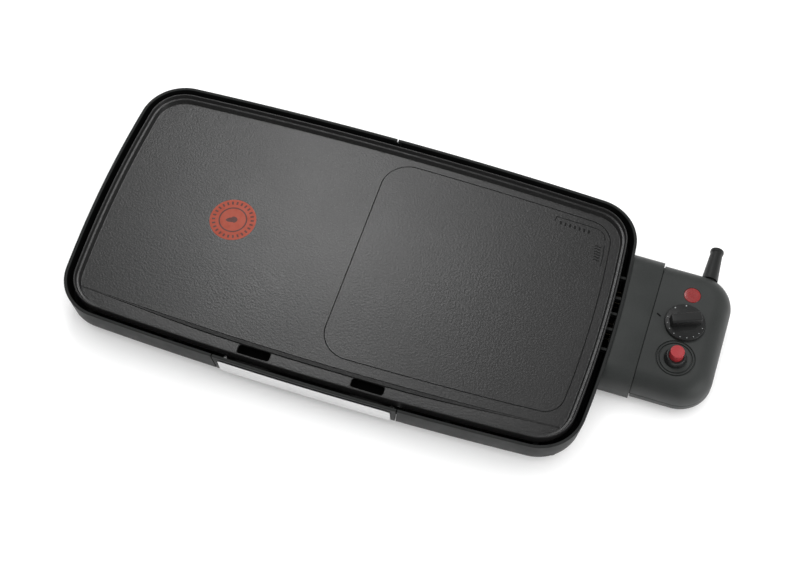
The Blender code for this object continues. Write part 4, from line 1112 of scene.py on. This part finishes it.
def tray_strip():
    """Metal strip with rounded lower corners, bent to the panel."""
    half = 0.0865
    top, bottom = 0.0048, 0.0282
    steps = 48
    rings = []
    for i in range(steps + 1):
        x = -half + 2 * half * i / steps
        near_end = max(abs(x) - (half - 0.0012), 0.0) / 0.0012
        trim = 0.0012 * (1 - math.sqrt(max(1 - near_end * near_end, 0.0)))
        station = long_side_station(x, -1)
        section = eased([(0, top + trim), (0, bottom - trim), (1, bottom - trim), (1, top + trim)])
        ring = []
        for layer, depth in section:
            face = SKIRT_DRAFT * depth / SKIRT_DEPTH - 0.0003
            ring.append((*place(station, face - layer * 0.0008), at_depth(depth)))
        rings.append(ring)
    bm = bmesh.new()
    skin(bm, rings)
    piece("tray_strip", bm, "plaque_metal", "tray", ("tray_plaque",))


def rounded_box(half_x, low_y, high_y, radius, steps=8):
    spots = [(half_x, low_y), (half_x, high_y), (-half_x, high_y), (-half_x, low_y)]
    return eased([(*spot, radius) for spot in spots], steps=steps)


def tray_pan():
    """Moulded tray: rounded well with thin walls and a flange along its sides."""
    front, back = TRAY_FRONT_Y, TRAY_BACK_Y
    floor_depth = 0.0330
    wall = 0.0016
    top = 0.0190

    def ring(inset, depth, radius):
        outline = rounded_box(0.085 - inset, front + inset, back - inset, radius)
        return [(x, y, at_depth(depth)) for x, y in outline]

    rings = [
        ring(0.0012, floor_depth, 0.0050),
        ring(0.0002, floor_depth - 0.0008, 0.0058),
        ring(0.0, floor_depth - 0.0030, 0.0060),
        ring(0.0, top, 0.0060),
        ring(wall, top, 0.0048),
        ring(wall, floor_depth - 0.0040, 0.0048),
        ring(wall + 0.0010, floor_depth - wall - 0.0006, 0.0040),
        ring(wall + 0.0030, floor_depth - wall, 0.0025),
    ]
    bm = bmesh.new()
    skin(bm, rings)
    for side in (-1, 1):
        xs = sorted((side * 0.0846, side * 0.0915))
        block(bm, xs, (front + 0.002, back - 0.002), (top, top + wall))
    piece("tray_well", bm, "tray_plastic", "tray", ("drip_tray",))


# ---------------------------------------------------------------- neck and control box

def rolled_section(half, top, bottom, roll, steps=16, across=12):
    points = [(-half, bottom)]
    for i in range(steps + 1):
        angle = math.pi / 2 * i / steps
        points.append((-half + roll - roll * math.cos(angle), top + roll - roll * math.sin(angle)))
    flat = half - roll
    middle = [(-flat + 2 * flat * i / across, top) for i in range(1, across)]
    return points + middle + [(-y, d) for y, d in reversed(points)]


def neck_start_x(y, depth):
    draft = SKIRT_DRAFT * min(max(depth / SKIRT_DEPTH, 0.0), 1.0)
    return frame_edge_x(y, draft) + 0.0003


def neck_cover():
    outer = rolled_section(NECK_HALF, NECK_TOP, NECK_BOTTOM, NECK_ROLL)
    trimmed = rolled_section(NECK_HALF - 0.0005, NECK_TOP + 0.0005, NECK_BOTTOM, NECK_ROLL - 0.0005)
    inner = rolled_section(NECK_HALF - SHELL, NECK_TOP + SHELL, NECK_BOTTOM, NECK_ROLL - SHELL)
    easing = rolled_section(NECK_HALF - 0.00015, NECK_TOP + 0.00015, NECK_BOTTOM, NECK_ROLL - 0.00015)
    back = list(reversed(inner))
    rings = [[(neck_start_x(NECK_Y + y, d), NECK_Y + y, at_depth(d)) for y, d in outer + back]]
    for x, section in ((NECK_END_X - 0.0005, outer), (NECK_END_X - 0.00015, easing), (NECK_END_X, trimmed)):
        rings.append([(x, NECK_Y + y, at_depth(d)) for y, d in section + back])
    bm = bmesh.new()
    strip_skin(bm, rings)
    piece("neck_cover", bm, "box_plastic", "base", ("connector_cover",))


def seam_tongue():
    """Rolled tongue of the control box that closes the seam with the neck from inside."""
    outer = rolled_section(0.0698, 0.0058, 0.0284, 0.0182)
    inner = rolled_section(0.0686, 0.0070, 0.0284, 0.0170)
    rings = []
    for x in (0.2920, BOX_START_X + 0.0006):
        rings.append([(x, NECK_Y + y, at_depth(d)) for y, d in outer + list(reversed(inner))])
    bm = bmesh.new()
    strip_skin(bm, rings)
    piece("seam_tongue", bm, "box_plastic", "control_unit")


def box_outline(inset, start_x, corner=BOX_CORNER):
    """Plan outline of the control box: square at the neck, rounded at its free end."""
    radius = max(corner - inset, 0.004)
    right = BOX_END_X - inset
    points = [(start_x, -BOX_HALF + inset)]
    steps = 20
    for side in (-1, 1):
        centre = (right - radius, side * (BOX_HALF - inset - radius))
        for i in range(steps + 1):
            a = math.pi / 2 * i / steps - (math.pi / 2 if side < 0 else 0.0)
            points.append((centre[0] + radius * math.cos(a), centre[1] + radius * math.sin(a)))
    points.append((start_x, BOX_HALF - inset))
    return [(x, NECK_Y + y) for x, y in points]


def roll_inset(fall, roll):
    if fall >= roll:
        return 0.0
    rest = roll - fall
    return roll - math.sqrt(roll * roll - rest * rest)


def box_ring(depth, wall, extra=0.0):
    inset = wall + extra + roll_inset(depth - BOX_TOP - wall, BOX_ROLL - wall)
    return [(x, y, at_depth(depth)) for x, y in box_outline(inset, BOX_START_X + wall + extra * 0.3)]


def roll_depths(wall, low, steps=16):
    roll = BOX_ROLL - wall
    depths = [BOX_TOP + wall + roll * (1 - math.cos(math.pi / 2 * i / steps)) for i in range(steps + 1)]
    return [d for d in depths if d < low - 0.0006]


def box_top_cutters():
    z = at_depth(BOX_TOP)
    bm = bmesh.new()
    for y, r in ((LENS_Y, LENS_R + 0.0003), (KNOB_Y, 0.0055), (BUTTON_Y, 0.0092)):
        turned(bm, [(r, z - 0.006), (r, z + 0.004)], (CONTROL_X, y, 0), sides=72)
    turned(bm, [(0.0065, 0.085), (0.0065, 0.105)], (RELIEF_X, 0, at_depth(RELIEF_DEPTH)), "Y", 40)
    block(bm, (BOX_START_X - 0.002, BOX_START_X + 0.004), (PROBE_Y - 0.0315, PROBE_Y + 0.0315),
          (0.0106, 0.0252))
    return bm


def ring_groove_cutters():
    """Two engraved rings round the push button."""
    z = at_depth(BOX_TOP)
    bm = bmesh.new()
    for radius in (0.0184, 0.0158):
        profile = [(radius - 0.0012, z + 0.001), (radius - 0.0004, z - 0.0013),
                   (radius + 0.0004, z - 0.0013), (radius + 0.0012, z + 0.001)]
        turned(bm, profile, (CONTROL_X, BUTTON_Y, 0), sides=96, bored=True)
    return bm


def control_box():
    bm = bmesh.new()
    outer = [box_ring(BOX_TOP, 0.0, 0.0006)]
    outer += [box_ring(d, 0.0) for d in roll_depths(0.0, BOX_PARTING)]
    outer += [box_ring(BOX_PARTING - 0.0004, 0.0), box_ring(BOX_PARTING, 0.0, 0.0004)]
    inner = [box_ring(d, SHELL) for d in roll_depths(SHELL, BOX_PARTING)] + [box_ring(BOX_PARTING, SHELL)]
    skin(bm, outer + list(reversed(inner)))
    bm = combine(bm, box_top_cutters(), "DIFFERENCE")
    bm = combine(bm, ring_groove_cutters(), "DIFFERENCE")
    piece("box_top_shell", bm, "box_plastic", "control_unit", ("control_box_top",))
    bm = bmesh.new()
    low = BOX_PARTING + 0.0003
    outer = [box_ring(low, 0.0, 0.0004), box_ring(low + 0.0004, 0.0), box_ring(BOX_BOTTOM - 0.0014, 0.0),
             box_ring(BOX_BOTTOM - 0.0004, 0.0, 0.0004), box_ring(BOX_BOTTOM, 0.0, 0.0014)]
    inner = [box_ring(BOX_BOTTOM - SHELL, SHELL), box_ring(low, SHELL)]
    skin(bm, list(reversed(outer)) + list(reversed(inner)))
    holes = bmesh.new()
    for x, y in BOX_SCREW_SPOTS:
        profile = [(0.0019, at_depth(BOX_BOTTOM + 0.002)), (0.0019, at_depth(BOX_PARTING))]
        turned(holes, profile, (x, y, 0), sides=24)
    bm = combine(bm, holes, "DIFFERENCE")
    piece("box_bottom_shell", bm, "box_plastic", "control_unit", ("control_box_bottom",))


BOX_SCREW_SPOTS = [(0.3050, NECK_Y - 0.056), (0.3440, NECK_Y - 0.056), (0.3050, NECK_Y + 0.056),
                   (0.3560, NECK_Y + 0.035)]


def index_mark():
    """Short dark bar let into the box beside the knob."""
    z = at_depth(BOX_TOP)
    ends = (Vector((0.2997, 0.0345)), Vector((0.3039, 0.0321)))
    ahead = (ends[1] - ends[0]).normalized()
    out = Vector((-ahead.y, ahead.x)) * 0.0008
    outline = [ends[0] + out, ends[0] - out, ends[1] - out, ends[1] + out]
    bm = bmesh.new()
    skin(bm, [[(p.x, p.y, z + h) for p in outline] for h in (-0.0002, 0.00008)])
    piece("index_mark", bm, "box_plastic", "control_unit", finish=INDEX_PRINT)


def indicator_lens():
    z = at_depth(BOX_TOP)
    low = z - 0.0042
    profile = eased([(0.0004, low), (LENS_R, low), (LENS_R, z + 0.0001, 0.0005),
                     (LENS_R * 0.6, z + 0.0003, 0.002), (0.0004, z + 0.0003)], steps=5, closed=False)
    bm = bmesh.new()
    turned(bm, profile, (CONTROL_X, LENS_Y, 0))
    piece("lens", bm, "red_lens", "control_unit", ("indicator_lens",))


def knob():
    face = at_depth(BOX_TOP)
    low = face + 0.0004
    profile = eased([
        (0.0034, low),
        (KNOB_R - 0.0004, low, 0.0003),
        (KNOB_R, low + 0.0009, 0.0004),
        (KNOB_R - 0.0006, face + 0.0031, 0.0007),
        (KNOB_R - 0.0080, face + 0.0049, 0.001),
        (0.0034, face + 0.0050),
    ], steps=5, closed=False)
    bm = bmesh.new()
    turned(bm, profile, (CONTROL_X, KNOB_Y, 0), sides=96)
    grip = bmesh.new()
    half_x, half_y = 0.0153, 0.0054
    levels = ((0.0030, 0.0), (0.0128, -0.0004), (0.0136, -0.0007), (0.0141, -0.0013), (0.0142, -0.0020))
    rings = []
    for rise, grow in levels:
        outline = rounded_box(half_x + grow, -half_y - grow, half_y + grow, 0.0016, steps=6)
        rings.append([(x, y, face + rise) for x, y in outline])
    skin(grip, rings)
    turn = Matrix.Translation((CONTROL_X, KNOB_Y, 0)) @ Matrix.Rotation(GRIP_TURN, 4, "Z")
    bmesh.ops.transform(grip, matrix=turn, verts=grip.verts)
    bm = combine(bm, grip, "UNION")
    piece("knob_body", bm, "knob_plastic", "dial", ("knob",))
    spot = Vector((CONTROL_X, KNOB_Y, face + 0.0036)) + SHIFT
    grown("dial_dots", DOTS, bmesh.new(), "knob_plastic", "dial", move=spot, Dots=9,
          Ring_Radius=DOT_RING_R, First_Angle=math.radians(179), Step_Angle=math.radians(21.75),
          Dot_Radius=0.00045, Dot_Height=0.0006, Finish=WHITE_PRINT)
    grown("dial_end_marks", DOTS, bmesh.new(), "knob_plastic", "dial", move=spot, Dots=2,
          Ring_Radius=DOT_RING_R, First_Angle=math.radians(100), Step_Angle=math.radians(37),
          Dot_Radius=0.0007, Dot_Height=0.0006, Finish=WHITE_PRINT)


def push_button():
    z = at_depth(BOX_TOP)
    top = z + 0.0150
    profile = eased([
        (0.0004, z - 0.0075),
        (0.0078, z - 0.0075),
        (0.0078, z - 0.0064),
        (BUTTON_R, z - 0.0064),
        (BUTTON_R, top, 0.0008),
        (BUTTON_R * 0.5, top - 0.0003, 0.002),
        (0.0004, top - 0.0004),
    ], steps=5, closed=False)
    bm = bmesh.new()
    turned(bm, profile, (CONTROL_X, BUTTON_Y, 0))
    piece("button_cap", bm, "red_plastic", "button", ("booster_button",))
    inner = BUTTON_R + 0.0004
    profile = eased([
        (inner, z + 0.0066, 0.0003),
        (COLLAR_R - 0.0022, z + 0.0066, 0.0006),
        (COLLAR_R, z + 0.0003, 0.0003),
        (0.0088, z + 0.0003),
        (0.0088, z - 0.0060),
        (inner, z - 0.0060),
    ])
    bm = bmesh.new()
    turned(bm, profile, (CONTROL_X, BUTTON_Y, 0), bored=True)
    piece("collar", bm, "knob_plastic", "control_unit", ("button_collar",), finish=COLLAR_PLASTIC)


def cord_sleeve():
    bore, end = RELIEF_BORE, RELIEF_END_Y
    axis = (RELIEF_X, 0, at_depth(RELIEF_DEPTH))
    profile = eased([(bore, 0.0835), (0.0069, 0.0835), (0.0069, 0.0867), (0.0061, 0.0867), (0.0061, 0.0925),
                     (0.0080, 0.0925), (0.0077, 0.0985, 0.006), (0.0062, 0.1230, 0.002),
                     (0.0063, 0.1247, 0.0006), (0.0068, 0.1253, 0.0007), (0.0068, end, 0.0016),
                     (bore, end, 0.0007)], steps=5)
    bm = bmesh.new()
    turned(bm, profile, axis, "Y", 56, bored=True)
    inside = bmesh.new()
    rings = [box_ring(d, -0.0003) for d in roll_depths(-0.0003, BOX_BOTTOM)]
    rings.append(box_ring(BOX_BOTTOM, -0.0003))
    skin(inside, rings)
    sleeve = combine(bm, inside, "DIFFERENCE")
    stem = eased([(bore, 0.0835), (0.0069, 0.0835), (0.0069, 0.0867), (0.0061, 0.0867), (0.0061, 0.1000),
                  (bore, 0.1000)])
    turned(sleeve, stem, axis, "Y", 56, bored=True)
    piece("cord_sleeve", sleeve, "rubber", "control_unit", ("strain_relief",))


# ---------------------------------------------------------------- underside

def screws():
    short_side = (HALF_LENGTH - SHORT_SIDE_R, 0.0, SHORT_SIDE_R, -0.065)
    spots = [long_side_station(0.070, 1), long_side_station(0.170, -1), short_side]
    spots = [place(s, 0.0175) for s in spots + [mirror_x(s) for s in spots]]
    points = [(x, y, at_depth(SKIRT_DEPTH + 0.0003)) for x, y in spots]
    grown("base_screws", SCREWS, at_points(points), "screw_steel", "base",
          tuple(f"base_screw_{i}" for i in range(1, 7)), Shank_Length=0.0054, Finish=SCREW_STEEL)
    points = [(0.281, NECK_Y + s * 0.060, at_depth(NECK_BOTTOM + 0.0003)) for s in (-1, 1)]
    grown("neck_screws", SCREWS, at_points(points), "screw_steel", "base", ("neck_screw_1", "neck_screw_2"),
          Shank_Length=0.0080, Finish=SCREW_STEEL)
    points = [(x, y, at_depth(BOX_BOTTOM + 0.0003)) for x, y in BOX_SCREW_SPOTS]
    grown("box_screws", SCREWS, at_points(points), "screw_steel", "control_unit",
          tuple(f"box_screw_{i}" for i in range(1, 5)), Shank_Length=0.0185, Finish=SCREW_STEEL)


def rubber_feet():
    """Soft feet with a rounded tread and a shallow ring pressed into it."""
    x, y = leg_spots()
    corners = {"front_left": (-x, -y), "front_right": (x, -y), "back_left": (-x, y), "back_right": (x, y)}
    for name, (foot_x, foot_y) in corners.items():
        top = at_depth(LEG_BOTTOM)
        profile = eased([
            (0.0004, 0.0009),
            (0.0030, 0.0009, 0.0004),
            (0.0036, 0.0, 0.0004),
            (FOOT_R, 0.0, 0.0010),
            (FOOT_R, top - 0.0003, 0.0006),
            (0.0029, top - 0.0003),
            (0.0029, top + 0.0055, 0.0006),
            (0.0004, top + 0.0055),
        ], closed=False)
        bm = bmesh.new()
        turned(bm, profile, (foot_x, foot_y, 0), sides=40)
        piece("tread_" + name, bm, "rubber", "base", ("foot_" + name,))


# ---------------------------------------------------------------- set, light and camera

def studio():
    bm = bmesh.new()
    bmesh.ops.create_grid(bm, x_segments=2, y_segments=2, size=14.0)
    floor = plain_object("floor", bm)
    s = Shading("pale floor")
    soft = s.noise(3.0, 2.0)
    tone = s.blend(s.spread(soft, 0.0, 1.0), (0.90, 0.90, 0.90), (0.915, 0.915, 0.915))
    finish = s.done(tone, s.spread(soft, 0.85, 0.95), s.relief(soft, 0.0001, 0.1), Specular_IOR_Level=0.1,
                    Emission_Color=(1.0, 1.0, 1.0, 1.0), Emission_Strength=0.11)
    floor.data.materials.append(finish)
    dark_ceiling()
    world = bpy.data.worlds.new("studio")
    bpy.context.scene.world = world
    world.use_nodes = True
    background = world.node_tree.nodes["Background"]
    background.inputs["Color"].default_value = (1.0, 1.0, 1.0, 1.0)
    background.inputs["Strength"].default_value = 0.30
    softbox("key_softbox", (-0.60, 1.20, 2.10), (0.6, 0.6), 12.5)
    softbox("side_fill", (2.3, -0.5, 1.0), (1.0, 0.8), 16.0)
    panel = bpy.data.lights.new("overhead_panel", "SUN")
    panel.energy = 2.9
    panel.angle = math.radians(100)
    made = bpy.data.objects.new("overhead_panel", panel)
    made.rotation_euler = (math.radians(-4), math.radians(10), 0.0)
    made.visible_glossy = False
    bpy.context.collection.objects.link(made)


def dark_ceiling():
    """Unlit part of the studio above the camera, seen only in reflections."""
    bm = bmesh.new()
    bmesh.ops.create_grid(bm, x_segments=2, y_segments=2, size=2.4)
    bmesh.ops.translate(bm, verts=bm.verts, vec=(0.0, -1.85, 2.5))
    ceiling = plain_object("dark_ceiling", bm)
    s = Shading("unlit studio ceiling")
    cloth = s.noise(6.0, 2.0)
    tone = s.blend(cloth, (0.001, 0.001, 0.001), (0.002, 0.002, 0.002))
    ceiling.data.materials.append(s.done(tone, s.spread(cloth, 0.9, 1.0), s.relief(cloth, 0.001, 0.3),
                                         Specular_IOR_Level=0.0))
    for rays in ("camera", "diffuse", "shadow", "transmission"):
        setattr(ceiling, "visible_" + rays, False)


def softbox(name, place_at, size, power):
    light = bpy.data.lights.new(name, "AREA")
    light.shape = "RECTANGLE"
    light.size, light.size_y = size
    light.energy = power
    made = bpy.data.objects.new(name, light)
    made.location = place_at
    aim = Vector((-0.02, 0.0, 0.04)) - Vector(place_at)
    made.rotation_euler = aim.to_track_quat("-Z", "Y").to_euler()
    bpy.context.collection.objects.link(made)


def camera():
    lens = bpy.data.cameras.new("camera")
    lens.sensor_width = 36.0
    lens.lens = 73.955
    lens.clip_start = 0.05
    made = bpy.data.objects.new("camera", lens)
    right = Vector((0.950341, 0.311209, -0.000496))
    down = Vector((0.272621, -0.833273, -0.480972))
    ahead = Vector((-0.150096, 0.456952, -0.876736))
    turn = Matrix((right, -down, -ahead)).transposed().to_4x4()
    made.matrix_world = Matrix.Translation((0.23671, -0.73731, 1.43730)) @ turn
    bpy.context.collection.objects.link(made)
    bpy.context.scene.camera = made


def finish_carried_nodes():
    """Give every CAD node that is still shown the worked finish of its slot."""
    slots = {}
    for subpart in frame["record"]["subparts"]:
        slots[subpart["node"]] = subpart["material_slot"]
    for name, node in frame["nodes"].items():
        slot = slots.get(name)
        for holder in node.material_slots:
            holder.material = SLOT_FINISHES[slot]


finish_carried_nodes()
frame_half("frame_shell_left", -1, ("frame_left",))
frame_half("frame_shell_right", 1, ("frame_right",))
gap_ribs()
cooking_plate()
heat_mark()
zone_marks()
heating_elements()
tray_front()
tray_strip()
tray_pan()
neck_cover()
control_box()
seam_tongue()
index_mark()
indicator_lens()
knob()
push_button()
cord_sleeve()
screws()
rubber_feet()
studio()
camera()
bpy.context.scene.view_settings.view_transform = "Standard"
